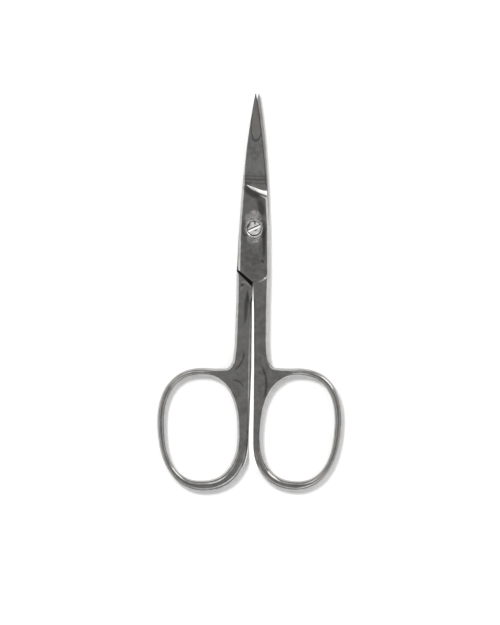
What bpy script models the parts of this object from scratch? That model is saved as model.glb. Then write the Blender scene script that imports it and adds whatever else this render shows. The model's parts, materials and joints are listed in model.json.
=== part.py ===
"""Nail scissors: two forged halves that cross at a slotted screw.

Each half is one forging: blade, joint plate, shank and finger bow. It is
modelled in its own frame, with the pivot at the origin, the blade along +Y,
the ground blade face up (+Z) and the outer side of its shank towards +X.
The upper half stands as modelled. The lower half is the same forging turned
over about the long axis. Both are then opened by the same small angle.
"""

import math
from dataclasses import dataclass

import bmesh
import bpy
from mathutils import Matrix, Vector

MM = 0.001

# Opening in which the scissors lie: the angle between the two halves
OPENING = math.radians(1.4)

# Thickness, measured up from the plane where the halves meet
SHANK_HALF_THICKNESS = 1.5 * MM
JOINT_RECESS = 0.15 * MM  # the joint's outer face lies this much below the shank's
RIDE_CLEARANCE = 0.1 * MM  # between the two faces that slide on each other
FORGING_CROWN = 0.06 * MM  # stands above the flats until they are ground
WIRE_HALF_THICKNESS = 1.12 * MM  # of the bow, across the finger hole

# Blade and joint plate, in plan
BLADE_LENGTH = 30.4 * MM  # pivot to tip
JOINT_HALF_WIDTH = 3.4 * MM  # at the pivot
SHOULDER_HALF_WIDTH = 3.55 * MM  # where the joint meets the shoulder
STRAIGHT_TAPER_SHARE = 0.5  # of the narrowing, the rest gathers towards the tip
TIP_SHARPNESS = 2.5  # power with which the rest gathers
TIP_HALF_WIDTH = 0.1 * MM
SIDE_ROUNDING = 0.9 * MM

# Shoulder: a V that points to the bows
SHOULDER_POINT_Y = -12.8 * MM
SHOULDER_SIDE_Y = -9.5 * MM
SHOULDER_WALL_RUN = 0.22 * MM  # how far the step's wall leans out over the joint
SHOULDER_CLEARANCE = 0.45 * MM
SHOULDER_CHAMFER_WIDTH = 1.1 * MM
SHOULDER_CHAMFER_DEPTH = 0.35 * MM

# Grinding of the blade
EDGE_THICKNESS = 0.22 * MM
BEVEL_ANGLE = math.radians(12.5)
BEVEL_END_Y = 9.1 * MM  # where the grinding wheel leaves the cutting edge
BEVEL_WHEEL_RADIUS = 3.0 * MM
BEVEL_SKEW = math.radians(20.0)
HOLLOW_START_Y = 6.5 * MM
HOLLOW_END_Y = 29.2 * MM
HOLLOW_DEPTH = 0.1 * MM

# Shank and its flare into the bow
SHANK_OUTER_X = 3.45 * MM
SHANK_FLARE = 0.6 * MM
SHANK_FLARE_LENGTH = 7.0 * MM
WEB_FILLET_RADIUS = 1.5 * MM

# Bow: an oval finger hole inside a wire whose width changes round it
HOLE_HALF_WIDTH = 8.13 * MM
HOLE_HALF_LENGTH = 11.8 * MM
HOLE_LEAN = math.radians(4.3)
HOLE_SQUARENESS = 2.4  # 2 would be an ellipse
BOW_LEAN = math.radians(7.3)
BOW_SQUARENESS = 2.28
BOW_OUTER_WIDTH = 1.72 * MM
BOW_TOP_WIDTH = 1.88 * MM

# What differs between the two halves, each finished by hand. X is 0 on the closed scissors' middle
UPPER_BOW_INNER_X = 0.27 * MM
UPPER_BOW_TOP_Y = -31.42 * MM
UPPER_BOW_INNER_WIDTH = 2.05 * MM  # of the wire, beside the other bow
UPPER_BOW_BOTTOM_WIDTH = 2.25 * MM
UPPER_SHOULDER_INNER_X = 0.05 * MM
UPPER_INNER_ROUNDING = 0.4 * MM
LOWER_BOW_INNER_X = -0.57 * MM
LOWER_BOW_TOP_Y = -31.82 * MM
LOWER_BOW_INNER_WIDTH = 2.72 * MM
LOWER_BOW_BOTTOM_WIDTH = 2.5 * MM
LOWER_SHOULDER_INNER_X = -0.09 * MM
LOWER_INNER_ROUNDING = 0.72 * MM

# Pivot screw
SCREW_HEAD_RADIUS = 1.6 * MM
SCREW_SHOULDER_RADIUS = 1.1 * MM
SCREW_THREAD_RADIUS = 0.95 * MM
SCREW_HEAD_RIM = 0.2 * MM
SCREW_DOME_HEIGHT = 0.22 * MM
SCREW_SLOT_WIDTH = 0.42 * MM
SCREW_SLOT_DEPTH = 0.42 * MM
SCREW_SLOT_ANGLE = math.radians(29.3)
SCREW_CLEARANCE = 0.05 * MM  # in the upper half, which turns on the screw
SCREW_FIT = 0.02 * MM  # in the lower half, which holds the screw

# Facets
ROUND_STEPS = 48
DOME_STEPS = 5
WHEEL_STEPS = 10
HOLLOW_STEPS = 10
BOW_STEPS = 20
SPREAD_STEPS = 5
BLADE_STEPS = 10
BLADE_STEP_GROWTH = 1.35  # over 1, the blade's stations lie closer together towards the tip
SURFACE_LEVELS = 1
FIT_ROUNDS = 3

# A quarter of an ellipse, seen from its end, is passed at this point halfway
QUARTER_IN = 1 - math.cos(math.pi / 4)
QUARTER_UP = math.sin(math.pi / 4)

# The most that a rounding takes of the width of a section
BOW_ROUNDING_SHARE = 0.38
STRIP_ROUNDING_SHARE = 0.3

# Directions from the hole's centre: the bow joins the shank between the first two
JUNCTION_START = math.radians(118)
JUNCTION_END = math.radians(157)
STRAIGHT_SIDE_END = math.radians(185)  # the bow's inner side is straight down to here
SIDE_FLAT_END = math.radians(190)  # and has the shank's full thickness down to here
WIRE_START = math.radians(265)
WIRE_END = math.radians(62)

# The junction is this many faces wide, and so is the flat of the shank and the blade
SHANK_STRIPS = 3
BOW_TOP_START = 1.4 * WEB_FILLET_RADIUS  # from the shank's outer side to the bow's first station
SHANK_START_SLANT = 2.2 * MM  # of the first station over the junction
SHANK_SLANTED_STATIONS = 3

# Places along the shoulder, in heights of its V above its point
SPREAD_START = -1.2
SPREAD_END = 0.9
PLATE_START = 1.6
PLATE_CORNER_CLEARANCE = 0.03 * MM  # between the shank's side and the cut that squares the plate

BEVEL_SIGHT_SHARE = 0.8  # the bevel's foot follows the cutting edge up to this share of the blade

# In a station of the bow, the flat's corners beside the outer side, on top and underneath
BOW_FLAT_CORNERS = (2, 8)

JOINT_HALF_THICKNESS = SHANK_HALF_THICKNESS - JOINT_RECESS
RIDE_Z = RIDE_CLEARANCE / 2
FAR = 60 * MM  # how far a cutter reaches past what it cuts
MERGE_DISTANCE = 0.001 * MM


@dataclass(frozen=True)
class Half:
    """What differs between the two forgings."""

    name: str
    bow_inner_x: float
    bow_top_y: float
    bow_inner_width: float
    bow_bottom_width: float
    shoulder_inner_x: float
    inner_rounding: float
    hole_radius: float
    has_countersink: bool

    @property
    def hole_centre(self):
        """Of the finger hole: inwards of the wire's inner side and its top."""
        return Vector(
            (
                self.bow_inner_x + self.bow_inner_width + HOLE_HALF_WIDTH,
                self.bow_top_y - BOW_TOP_WIDTH - HOLE_HALF_LENGTH,
            )
        )


UPPER = Half(
    name="upper_half",
    bow_inner_x=UPPER_BOW_INNER_X,
    bow_top_y=UPPER_BOW_TOP_Y,
    bow_inner_width=UPPER_BOW_INNER_WIDTH,
    bow_bottom_width=UPPER_BOW_BOTTOM_WIDTH,
    shoulder_inner_x=UPPER_SHOULDER_INNER_X,
    inner_rounding=UPPER_INNER_ROUNDING,
    hole_radius=SCREW_SHOULDER_RADIUS + SCREW_CLEARANCE,
    has_countersink=True,
)

LOWER = Half(
    name="lower_half",
    bow_inner_x=LOWER_BOW_INNER_X,
    bow_top_y=LOWER_BOW_TOP_Y,
    bow_inner_width=LOWER_BOW_INNER_WIDTH,
    bow_bottom_width=LOWER_BOW_BOTTOM_WIDTH,
    shoulder_inner_x=LOWER_SHOULDER_INNER_X,
    inner_rounding=LOWER_INNER_ROUNDING,
    hole_radius=SCREW_THREAD_RADIUS + SCREW_FIT,
    has_countersink=False,
)


def clear_scene():
    for old in list(bpy.data.objects):
        bpy.data.objects.remove(old, do_unlink=True)


def steel(name, colour, roughness):
    material = bpy.data.materials.new(name)
    material.use_nodes = True
    shader = material.node_tree.nodes["Principled BSDF"]
    shader.inputs["Base Color"].default_value = (*colour, 1.0)
    shader.inputs["Metallic"].default_value = 1.0
    shader.inputs["Roughness"].default_value = roughness
    return material


def mesh_object(name, shape):
    """An object from a bmesh, with its faces turned outwards."""
    bmesh.ops.recalc_face_normals(shape, faces=shape.faces)
    mesh = bpy.data.meshes.new(name)
    shape.to_mesh(mesh)
    shape.free()
    made = bpy.data.objects.new(name, mesh)
    bpy.context.scene.collection.objects.link(made)
    return made


# Outlines in plan


def oval_point(centre, half_width, half_length, lean, squareness, angle):
    """A point of a squarish oval whose top leans towards +X."""
    across = math.cos(angle)
    along = math.sin(angle)
    swell = (abs(across) ** squareness + abs(along) ** squareness) ** (-1 / squareness)
    turn = Matrix.Rotation(-lean, 2)
    return centre + turn @ Vector((across * half_width, along * half_length)) * swell


def hole_point(half, angle):
    return oval_point(
        half.hole_centre, HOLE_HALF_WIDTH, HOLE_HALF_LENGTH, HOLE_LEAN, HOLE_SQUARENESS, angle
    )


def bow_point(half, angle):
    """The bow's outer outline: the hole's oval widened by the wire on each side."""
    across = (BOW_OUTER_WIDTH - half.bow_inner_width) / 2
    along = (BOW_TOP_WIDTH - half.bow_bottom_width) / 2
    centre = half.hole_centre + Vector((across, along))
    half_width = HOLE_HALF_WIDTH + (BOW_OUTER_WIDTH + half.bow_inner_width) / 2
    half_length = HOLE_HALF_LENGTH + (BOW_TOP_WIDTH + half.bow_bottom_width) / 2
    return oval_point(centre, half_width, half_length, BOW_LEAN, BOW_SQUARENESS, angle)


def inner_x(half, y):
    """The shank's inner side: straight from the shoulder to the bow's top, then upright."""
    share = (SHOULDER_POINT_Y - y) / (SHOULDER_POINT_Y - half.bow_top_y)
    share = min(max(share, 0.0), 1.0)
    return half.shoulder_inner_x + share * (half.bow_inner_x - half.shoulder_inner_x)


def shank_outer_x(half, y):
    """The shank's outer side, which flares where it nears the bow."""
    start = half.bow_top_y + SHANK_FLARE_LENGTH
    share = min(max((start - y) / SHANK_FLARE_LENGTH, 0.0), 1.0)
    return SHANK_OUTER_X + SHANK_FLARE * share * share


def blade_half_width(y):
    """Half the width of blade and joint plate at a distance along the blade."""
    if y < 0:
        share = y / SHOULDER_SIDE_Y
        return JOINT_HALF_WIDTH + share * (SHOULDER_HALF_WIDTH - JOINT_HALF_WIDTH)
    along = y / BLADE_LENGTH
    straight = STRAIGHT_TAPER_SHARE * along
    curved = (1 - STRAIGHT_TAPER_SHARE) * along**TIP_SHARPNESS
    return TIP_HALF_WIDTH + (JOINT_HALF_WIDTH - TIP_HALF_WIDTH) * (1 - straight - curved)


# The forging: a cage of stations, each a ring of points, under a subdivision surface


def station(outer, inner, half_thickness, outer_rounding, inner_rounding, strips, most):
    """Points round a section, from the outer side over the top to the inner side and back.

    The flat is divided into strips, and a rounding takes at most this share of the width.
    """
    width = (inner - outer).length
    way = (inner - outer) / width
    outer_rounding = min(outer_rounding, most * width)
    inner_rounding = min(inner_rounding, most * width)
    flat = width - outer_rounding - inner_rounding
    profile = [(0.0, 0.0), (QUARTER_IN * outer_rounding, QUARTER_UP)]
    profile += [(outer_rounding + flat * i / strips, 1.0) for i in range(strips + 1)]
    profile += [(width - QUARTER_IN * inner_rounding, QUARTER_UP), (width, 0.0)]
    over = [(*(outer + way * reach), rise * half_thickness) for reach, rise in profile]
    under = [(x, y, -z) for x, y, z in reversed(over[1:-1])]
    return [Vector(point) for point in over + under]


def bow_angles():
    """Directions of the bow's stations: first across the junction, then round the wire."""
    junction = JUNCTION_END - JUNCTION_START
    rest = 2 * math.pi - junction
    across = [JUNCTION_START + junction * i / SHANK_STRIPS for i in range(SHANK_STRIPS)]
    around = [JUNCTION_END + rest * i / BOW_STEPS for i in range(BOW_STEPS)]
    return across + around


def bow_outer_point(half, angle):
    """The outline outside the hole: oval, but straight down the inner side and along the top."""
    point = bow_point(half, angle)
    if math.isclose(angle, JUNCTION_START):
        top = half.bow_top_y
        return Vector((shank_outer_x(half, top) + BOW_TOP_START, top))
    if JUNCTION_START < angle < STRAIGHT_SIDE_END:
        return Vector((half.bow_inner_x, point.y))
    return point


def ease(share):
    """0 to 1 with a level start and end."""
    share = min(max(share, 0.0), 1.0)
    return share * share * (3 - 2 * share)


def bow_half_thickness(angle):
    """Full shank thickness beside the shank, easing down to the wire's on both sides."""
    full = SHANK_HALF_THICKNESS + FORGING_CROWN
    past_side = ease((angle - SIDE_FLAT_END) / (WIRE_START - SIDE_FLAT_END))
    past_top = ease((angle - 2 * math.pi - WIRE_END) / (JUNCTION_START - WIRE_END))
    share = past_side - past_top
    return full + share * (WIRE_HALF_THICKNESS - full)


def bow_stations(half):
    made = []
    for angle in bow_angles():
        past_side = ease((angle - SIDE_FLAT_END) / (WIRE_START - SIDE_FLAT_END))
        beside_shank = angle > JUNCTION_START and past_side < 1
        outer_rounding = SIDE_ROUNDING
        if beside_shank:
            outer_rounding += (1 - past_side) * (half.inner_rounding - SIDE_ROUNDING)
        made.append(
            station(
                bow_outer_point(half, angle),
                hole_point(half, angle),
                bow_half_thickness(angle),
                outer_rounding,
                SIDE_ROUNDING,
                1,
                BOW_ROUNDING_SHARE,
            )
        )
    open_web(made)
    return made


def open_web(stations):
    """Inside the junction the flat runs on into the shank, from a line between its two ends."""
    for outer in BOW_FLAT_CORNERS:
        start = stations[0][outer]
        end = stations[SHANK_STRIPS][outer]
        for i in range(1, SHANK_STRIPS):
            stations[i][outer] = start.lerp(end, i / SHANK_STRIPS)


def fillet_point(half, turn):
    """On the fillet between the shank's outer side (turn 0) and the bow's top (a quarter turn)."""
    top = half.bow_top_y
    x = shank_outer_x(half, top) + WEB_FILLET_RADIUS * (1 - math.cos(turn))
    y = top + WEB_FILLET_RADIUS * (1 - math.sin(turn))
    return Vector((x, y))


def strip_station(outer, inner, half_thickness, inner_rounding):
    """A section of the shank or the blade, with a flat as many strips wide as the junction."""
    return station(
        outer,
        inner,
        half_thickness,
        SIDE_ROUNDING,
        inner_rounding,
        SHANK_STRIPS,
        STRIP_ROUNDING_SHARE,
    )


def shank_stations(half):
    """From the fillet over the bow up to the shoulder, each more nearly square to the shank."""
    full = SHANK_HALF_THICKNESS + FORGING_CROWN
    flare_end = half.bow_top_y + SHANK_FLARE_LENGTH
    flare_middle = flare_end - SHANK_FLARE_LENGTH / 2
    sides = [fillet_point(half, math.pi / 4), fillet_point(half, 0.0)]
    for y in (flare_middle, flare_end, (flare_end + SHOULDER_POINT_Y) / 2):
        sides.append(Vector((shank_outer_x(half, y), y)))
    made = []
    for i, outer in enumerate(sides):
        slant = SHANK_START_SLANT * max(1 - i / SHANK_SLANTED_STATIONS, 0) ** 2
        inner_y = outer.y - slant
        inner = Vector((inner_x(half, inner_y), inner_y))
        made.append(strip_station(outer, inner, full, half.inner_rounding))
    return made


def shoulder_y(share):
    """A place along the shoulder, in heights of its V above its point."""
    return SHOULDER_POINT_Y + share * (SHOULDER_SIDE_Y - SHOULDER_POINT_Y)


def plate_stations(half):
    """Out from the shank to the joint's full width, then along the blade to its tip."""
    full = SHANK_HALF_THICKNESS + FORGING_CROWN
    low = JOINT_HALF_THICKNESS + FORGING_CROWN
    made = []
    for i in range(SPREAD_STEPS + 1):
        share = i / SPREAD_STEPS
        y = shoulder_y(SPREAD_START + share * (SPREAD_END - SPREAD_START))
        inner = inner_x(half, y) + ease(share) * (-blade_half_width(y) - inner_x(half, y))
        outer = SHANK_OUTER_X + ease(share) * (blade_half_width(y) - SHANK_OUTER_X)
        rounding = half.inner_rounding + ease(share) * (SIDE_ROUNDING - half.inner_rounding)
        made.append(strip_station(Vector((outer, y)), Vector((inner, y)), full, rounding))
    start = shoulder_y(PLATE_START)
    for i in range(BLADE_STEPS + 1):
        share = 1 - (1 - i / BLADE_STEPS) ** BLADE_STEP_GROWTH
        y = start + (BLADE_LENGTH - start) * share
        wide = blade_half_width(y)
        thick = full if i == 0 else low
        ends = (Vector((wide, y)), Vector((-wide, y)))
        made.append(strip_station(*ends, thick, SIDE_ROUNDING))
    return made


def join_rows(shape, row, after, left_open=()):
    """Four-sided faces between two stations."""
    around = len(row)
    for j in range(around):
        if j not in left_open:
            k = (j + 1) % around
            shape.faces.new((row[j], row[k], after[k], after[j]))


def forging_cage(half):
    """The cage's corners and faces: a closed ring, a junction, and a strip out to the tip."""
    bow = bow_stations(half)
    strip = shank_stations(half) + plate_stations(half)
    top, under = BOW_FLAT_CORNERS
    shape = bmesh.new()
    ring = []
    for i, points in enumerate(bow):
        inside_junction = 0 < i < SHANK_STRIPS
        row = []
        for j, point in enumerate(points):
            on_outer_side = j < top or j > under
            row.append(None if inside_junction and on_outer_side else shape.verts.new(point))
        ring.append(row)
    rows = [[shape.verts.new(point) for point in points] for points in strip]

    outer_side = [*range(top), *range(under, len(bow[0]))]
    for i, row in enumerate(ring):
        after = ring[(i + 1) % len(ring)]
        join_rows(shape, row, after, outer_side if i < SHANK_STRIPS else ())

    start = ring[0]
    end = ring[SHANK_STRIPS]
    over = [ring[i][top] for i in range(1, SHANK_STRIPS)]
    back = [ring[i][under] for i in range(SHANK_STRIPS - 1, 0, -1)]
    mouth = start[: top + 1] + over + end[top::-1] + end[: under - 1 : -1] + back + start[under:]
    rows.insert(0, mouth)
    for row, after in zip(rows, rows[1:]):
        join_rows(shape, row, after)
    shape.faces.new(rows[-1])
    return shape


def fit_cage(made):
    """Move the cage until the smooth surface passes through the points it was built from."""
    wanted = [vertex.co.copy() for vertex in made.data.vertices]
    for _ in range(FIT_ROUNDS):
        reached = made.evaluated_get(bpy.context.evaluated_depsgraph_get()).data.vertices
        moves = [target - reached[i].co for i, target in enumerate(wanted)]
        for vertex, move in zip(made.data.vertices, moves):
            vertex.co += move
        made.data.update()


def forging(half):
    made = mesh_object(half.name, forging_cage(half))
    made.data.shade_smooth()
    smooth = made.modifiers.new("smooth", "SUBSURF")
    smooth.levels = SURFACE_LEVELS
    smooth.render_levels = SURFACE_LEVELS
    fit_cage(made)
    return made


# Cutters: what the grinding wheels and the drill take away


def cut(half_object, name, shape):
    """Take a shape away from a half. The cutter rides with it and isn't part of the model."""
    cutter = mesh_object(f"{half_object.name}_{name}", shape)
    cutter.hide_render = True
    cutter.display_type = "WIRE"
    cutter.parent = half_object
    taken = half_object.modifiers.new(name, "BOOLEAN")
    taken.operation = "DIFFERENCE"
    taken.solver = "EXACT"
    taken.object = cutter


def pushed(corners, way):
    """A face with these corners, extruded along a vector."""
    shape = bmesh.new()
    base = shape.faces.new([shape.verts.new(corner) for corner in corners])
    raised = bmesh.ops.extrude_face_region(shape, geom=[base])["geom"]
    moved = [item for item in raised if isinstance(item, bmesh.types.BMVert)]
    bmesh.ops.translate(shape, verts=moved, vec=way)
    return shape


def prism(outline, low, high):
    """A shape with this outline in plan, between two heights."""
    return pushed([(x, y, low) for x, y in outline], (0, 0, high - low))


def whole_outline():
    """All of the half, with room to spare."""
    reach = 2 * FAR
    return ((-reach, -reach), (reach, -reach), (reach, reach), (-reach, reach))


def shoulder_slope():
    return (SHOULDER_SIDE_Y - SHOULDER_POINT_Y) / SHOULDER_HALF_WIDTH


def joint_outline():
    """All that lies on the blade's side of the shoulder's V."""
    return (
        (0, SHOULDER_POINT_Y),
        (FAR, SHOULDER_POINT_Y + FAR * shoulder_slope()),
        (FAR, 2 * FAR),
        (-FAR, 2 * FAR),
        (-FAR, SHOULDER_POINT_Y),
    )


def joint_face_shape():
    """Over the joint: a prism whose wall leans, so that the step is a narrow slope."""
    run_share = SHOULDER_WALL_RUN / JOINT_RECESS
    floor = [(x, y + SHOULDER_WALL_RUN, JOINT_HALF_THICKNESS) for x, y in joint_outline()]
    return pushed(floor, (0, -FAR * run_share, FAR))


def tip_outline():
    """All past the tip, where the blade is ground to length."""
    return ((-FAR, BLADE_LENGTH), (FAR, BLADE_LENGTH), (FAR, 2 * FAR), (-FAR, 2 * FAR))


def plate_corner_outline(half):
    """All below the plate's slanting edge, which clears the other half's shoulder."""
    lift = SHOULDER_CLEARANCE * math.hypot(1, shoulder_slope())
    point_y = SHOULDER_POINT_Y + lift
    end_y = shoulder_y(SPREAD_START)
    return (
        (half.shoulder_inner_x, point_y - half.shoulder_inner_x * shoulder_slope()),
        (-FAR, point_y + FAR * shoulder_slope()),
        (-FAR, end_y),
        (inner_x(half, end_y) - PLATE_CORNER_CLEARANCE, end_y),
    )


def bevel_wheel():
    """The space that the grinding wheel takes over the blade: a plane with a round end."""
    radius = BEVEL_WHEEL_RADIUS
    profile = [(FAR, 0.0), (FAR, radius * 2), (-radius, radius * 2)]
    for i in range(WHEEL_STEPS + 1):
        turn = math.pi / 2 * (1 - i / WHEEL_STEPS)
        profile.append((-radius * math.sin(turn), radius - radius * math.cos(turn)))
    shape = pushed([(-FAR, along, up) for along, up in profile], (2 * FAR, 0, 0))
    shape.transform(bevel_frame())
    return shape


def bevel_frame():
    """Stands on the cutting edge where the wheel leaves it, with Y along the wheel's path."""
    root = Vector((blade_half_width(BEVEL_END_Y), BEVEL_END_Y, 0))
    near_tip = BEVEL_SIGHT_SHARE * BLADE_LENGTH
    edge = (Vector((blade_half_width(near_tip), near_tip, 0)) - root).normalized()
    to_spine = Vector((0, 0, 1)).cross(edge)
    rise = to_spine * math.cos(BEVEL_ANGLE) + Vector((0, 0, math.sin(BEVEL_ANGLE)))
    normal = edge.cross(rise).normalized()
    if normal.z < 0:
        normal.negate()
    path = Vector((math.sin(BEVEL_SKEW), math.cos(BEVEL_SKEW), 0))
    path = (path - normal * path.dot(normal)).normalized()
    across = path.cross(normal)
    frame = Matrix((across, path, normal)).transposed().to_4x4()
    frame.translation = root + Vector((0, 0, RIDE_Z + EDGE_THICKNESS))
    return frame


def hollow_outline():
    """Seen from the side: a shallow arch under the blade, so that only edge and joint touch."""
    points = [(HOLLOW_END_Y, -FAR), (HOLLOW_START_Y, -FAR)]
    for i in range(HOLLOW_STEPS + 1):
        share = i / HOLLOW_STEPS
        y = HOLLOW_START_Y + share * (HOLLOW_END_Y - HOLLOW_START_Y)
        points.append((y, RIDE_Z + HOLLOW_DEPTH * 4 * share * (1 - share)))
    return points


def hollow_shape():
    return pushed([(-FAR, y, z) for y, z in hollow_outline()], (2 * FAR, 0, 0))


def shoulder_chamfer():
    """A wedge along the shoulder's edge, on the side that the other half's plate slides under."""
    slope = math.atan(shoulder_slope())
    tilt = math.atan(SHOULDER_CHAMFER_DEPTH / SHOULDER_CHAMFER_WIDTH)
    shape = bmesh.new()
    bmesh.ops.create_cube(shape, size=1)
    reach = 2 * SHOULDER_CHAMFER_WIDTH
    bmesh.ops.scale(shape, vec=(2 * FAR, reach, FAR), verts=shape.verts)
    bmesh.ops.translate(shape, vec=(0, reach / 2, -FAR / 2), verts=shape.verts)
    edge = Vector((0, SHOULDER_POINT_Y, -SHANK_HALF_THICKNESS))
    edge.y -= SHOULDER_CHAMFER_WIDTH / math.cos(slope)
    turn = Matrix.Rotation(slope, 4, "Z") @ Matrix.Rotation(tilt, 4, "X")
    shape.transform(Matrix.Translation(edge) @ turn)
    return shape


def turned(profile):
    """A shape turned about Z from points of (radius, height), lowest first."""
    shape = bmesh.new()
    points = [Vector((0, 0, profile[0][1]))]
    points += [Vector((radius, 0, height)) for radius, height in profile]
    points += [Vector((0, 0, profile[-1][1]))]
    corners = [shape.verts.new(point) for point in points]
    edges = [shape.edges.new(pair) for pair in zip(corners, corners[1:])]
    bmesh.ops.spin(
        shape,
        geom=corners + edges,
        cent=(0, 0, 0),
        axis=(0, 0, 1),
        angle=2 * math.pi,
        steps=ROUND_STEPS,
    )
    bmesh.ops.remove_doubles(shape, verts=shape.verts, dist=MERGE_DISTANCE)
    return shape


def countersink_depth():
    return SCREW_HEAD_RADIUS - SCREW_SHOULDER_RADIUS


def head_seat_z():
    """Height of the head's rim over the plane where the halves meet."""
    return SHANK_HALF_THICKNESS - SCREW_DOME_HEIGHT - SCREW_HEAD_RIM


def hole_shape(half):
    if not half.has_countersink:
        return turned([(half.hole_radius, -FAR), (half.hole_radius, FAR)])
    seat = head_seat_z() - SCREW_CLEARANCE
    head = SCREW_HEAD_RADIUS + SCREW_CLEARANCE
    return turned(
        [
            (half.hole_radius, -FAR),
            (half.hole_radius, seat - countersink_depth()),
            (head, seat),
            (head, FAR),
        ]
    )


def finish_half(made, half):
    """Grind, drill and chamfer a forging in the order in which it is worked."""
    cut(made, "shank_face", prism(whole_outline(), SHANK_HALF_THICKNESS, FAR))
    cut(made, "back_face", prism(whole_outline(), -FAR, -SHANK_HALF_THICKNESS))
    cut(made, "joint_face", joint_face_shape())
    cut(made, "ride", prism(joint_outline(), -FAR, RIDE_Z))
    cut(made, "plate_corner", prism(plate_corner_outline(half), -FAR, FAR))
    cut(made, "shoulder_chamfer", shoulder_chamfer())
    cut(made, "bevel", bevel_wheel())
    cut(made, "hollow", hollow_shape())
    cut(made, "tip", prism(tip_outline(), -FAR, FAR))
    cut(made, "hole", hole_shape(half))


def pivot_screw():
    """Domed slotted head on a cone, a smooth shoulder and the thread's outside."""
    seat = head_seat_z()
    profile = [
        (SCREW_THREAD_RADIUS, -JOINT_HALF_THICKNESS),
        (SCREW_THREAD_RADIUS, -RIDE_Z),
        (SCREW_SHOULDER_RADIUS, -RIDE_Z),
        (SCREW_SHOULDER_RADIUS, seat - countersink_depth()),
        (SCREW_HEAD_RADIUS, seat),
        (SCREW_HEAD_RADIUS, seat + SCREW_HEAD_RIM),
    ]
    for i in range(1, DOME_STEPS):
        share = i / DOME_STEPS
        rise = SCREW_DOME_HEIGHT * (1 - (1 - share) ** 2)
        profile.append((SCREW_HEAD_RADIUS * (1 - share), seat + SCREW_HEAD_RIM + rise))
    profile.append((0.0, SHANK_HALF_THICKNESS))
    made = mesh_object("pivot_screw", turned(profile))
    slot = bmesh.new()
    bmesh.ops.create_cube(slot, size=1)
    size = (4 * SCREW_HEAD_RADIUS, SCREW_SLOT_WIDTH, 2 * SCREW_SLOT_DEPTH)
    bmesh.ops.scale(slot, vec=size, verts=slot.verts)
    place = Matrix.Translation((0, 0, SHANK_HALF_THICKNESS))
    slot.transform(place @ Matrix.Rotation(SCREW_SLOT_ANGLE, 4, "Z"))
    cut(made, "slot", slot)
    return made


def reach_of(objects):
    """Lowest and highest corner of what the objects show, in world space."""
    bpy.context.view_layer.update()
    found = bpy.context.evaluated_depsgraph_get()
    corners = []
    for made in objects:
        shown = made.evaluated_get(found)
        corners += [shown.matrix_world @ vertex.co for vertex in shown.data.vertices]
    low = Vector([min(corner[i] for corner in corners) for i in range(3)])
    high = Vector([max(corner[i] for corner in corners) for i in range(3)])
    return low, high


def assemble(upper, lower, screw):
    """Open the halves about the pivot, then stand them with the box's bottom centre at 0."""
    upper.rotation_euler = (0, 0, OPENING / 2)
    lower.rotation_euler = (0, math.pi, -OPENING / 2)
    low, high = reach_of((upper, lower, screw))
    pivot = Vector((-(low.x + high.x) / 2, -(low.y + high.y) / 2, -low.z))
    for made in (upper, lower, screw):
        made.location = pivot
    print("pivot at", [round(value / MM, 4) for value in pivot], "mm")


def main():
    clear_scene()
    plated = steel("plated_steel", (0.60, 0.58, 0.56), 0.12)
    screw_steel = steel("screw_steel", (0.66, 0.65, 0.63), 0.22)
    halves = []
    for half in (UPPER, LOWER):
        made = forging(half)
        finish_half(made, half)
        made.data.materials.append(plated)
        halves.append(made)
    screw = pivot_screw()
    screw.data.materials.append(screw_steel)
    assemble(*halves, screw)


main()
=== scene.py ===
# %% [markdown]
# # Nail scissors, dressed for the camera
# A pair of straight nail scissors: two plated halves that cross at a slotted screw. The CAD model
# is loaded first and stays as it is. Finer halves and a finer screw are then modelled in its place,
# in the same frame and in metres, because polished metal shows every facet of a plain solid.

import json
import math
from collections import namedtuple

import bmesh
import bpy
from mathutils import Matrix, Vector


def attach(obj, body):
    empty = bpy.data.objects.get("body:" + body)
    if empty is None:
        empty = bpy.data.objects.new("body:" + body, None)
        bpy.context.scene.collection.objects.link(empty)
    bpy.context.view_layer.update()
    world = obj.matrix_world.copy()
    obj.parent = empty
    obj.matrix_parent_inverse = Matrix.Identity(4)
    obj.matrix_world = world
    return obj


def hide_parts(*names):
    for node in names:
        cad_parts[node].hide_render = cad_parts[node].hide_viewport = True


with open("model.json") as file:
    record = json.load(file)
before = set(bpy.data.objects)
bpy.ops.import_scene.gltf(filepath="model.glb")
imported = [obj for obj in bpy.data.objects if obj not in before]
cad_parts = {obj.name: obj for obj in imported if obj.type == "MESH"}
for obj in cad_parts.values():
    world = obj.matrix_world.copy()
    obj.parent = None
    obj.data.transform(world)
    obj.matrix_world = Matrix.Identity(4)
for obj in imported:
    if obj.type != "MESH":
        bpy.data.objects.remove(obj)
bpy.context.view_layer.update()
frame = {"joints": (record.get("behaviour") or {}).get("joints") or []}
MM = 0.001

# %% [markdown]
# ## Camera
# The real scissors lie on a table and are seen from straight above, leaning a little clockwise in
# the picture. The camera could stand anywhere over them; here it hangs high with a long lens, so
# that the bows and the raised joint are seen from the same direction. The turn is the camera's own.

# %% Hang the camera over the table
PICTURE_SIZE = (500, 625)
PIXEL = 0.2256 * MM
PIVOT_PIXEL = (254.1, 228.4)
PIVOT = Vector(frame["joints"][0]["pos_m"])
LEAN = math.radians(1.4)
CAMERA_HEIGHT = 0.9
SENSOR = 0.036
CLIP_START = 0.01


def seen_at(column, row):
    """The place on the level of the joint that shows at a pixel of the picture."""
    across = (column - PIVOT_PIXEL[0]) * PIXEL
    down = (row - PIVOT_PIXEL[1]) * PIXEL
    turn = Matrix.Rotation(LEAN, 2)
    return PIVOT.xy + turn @ Vector((across, -down))


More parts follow.
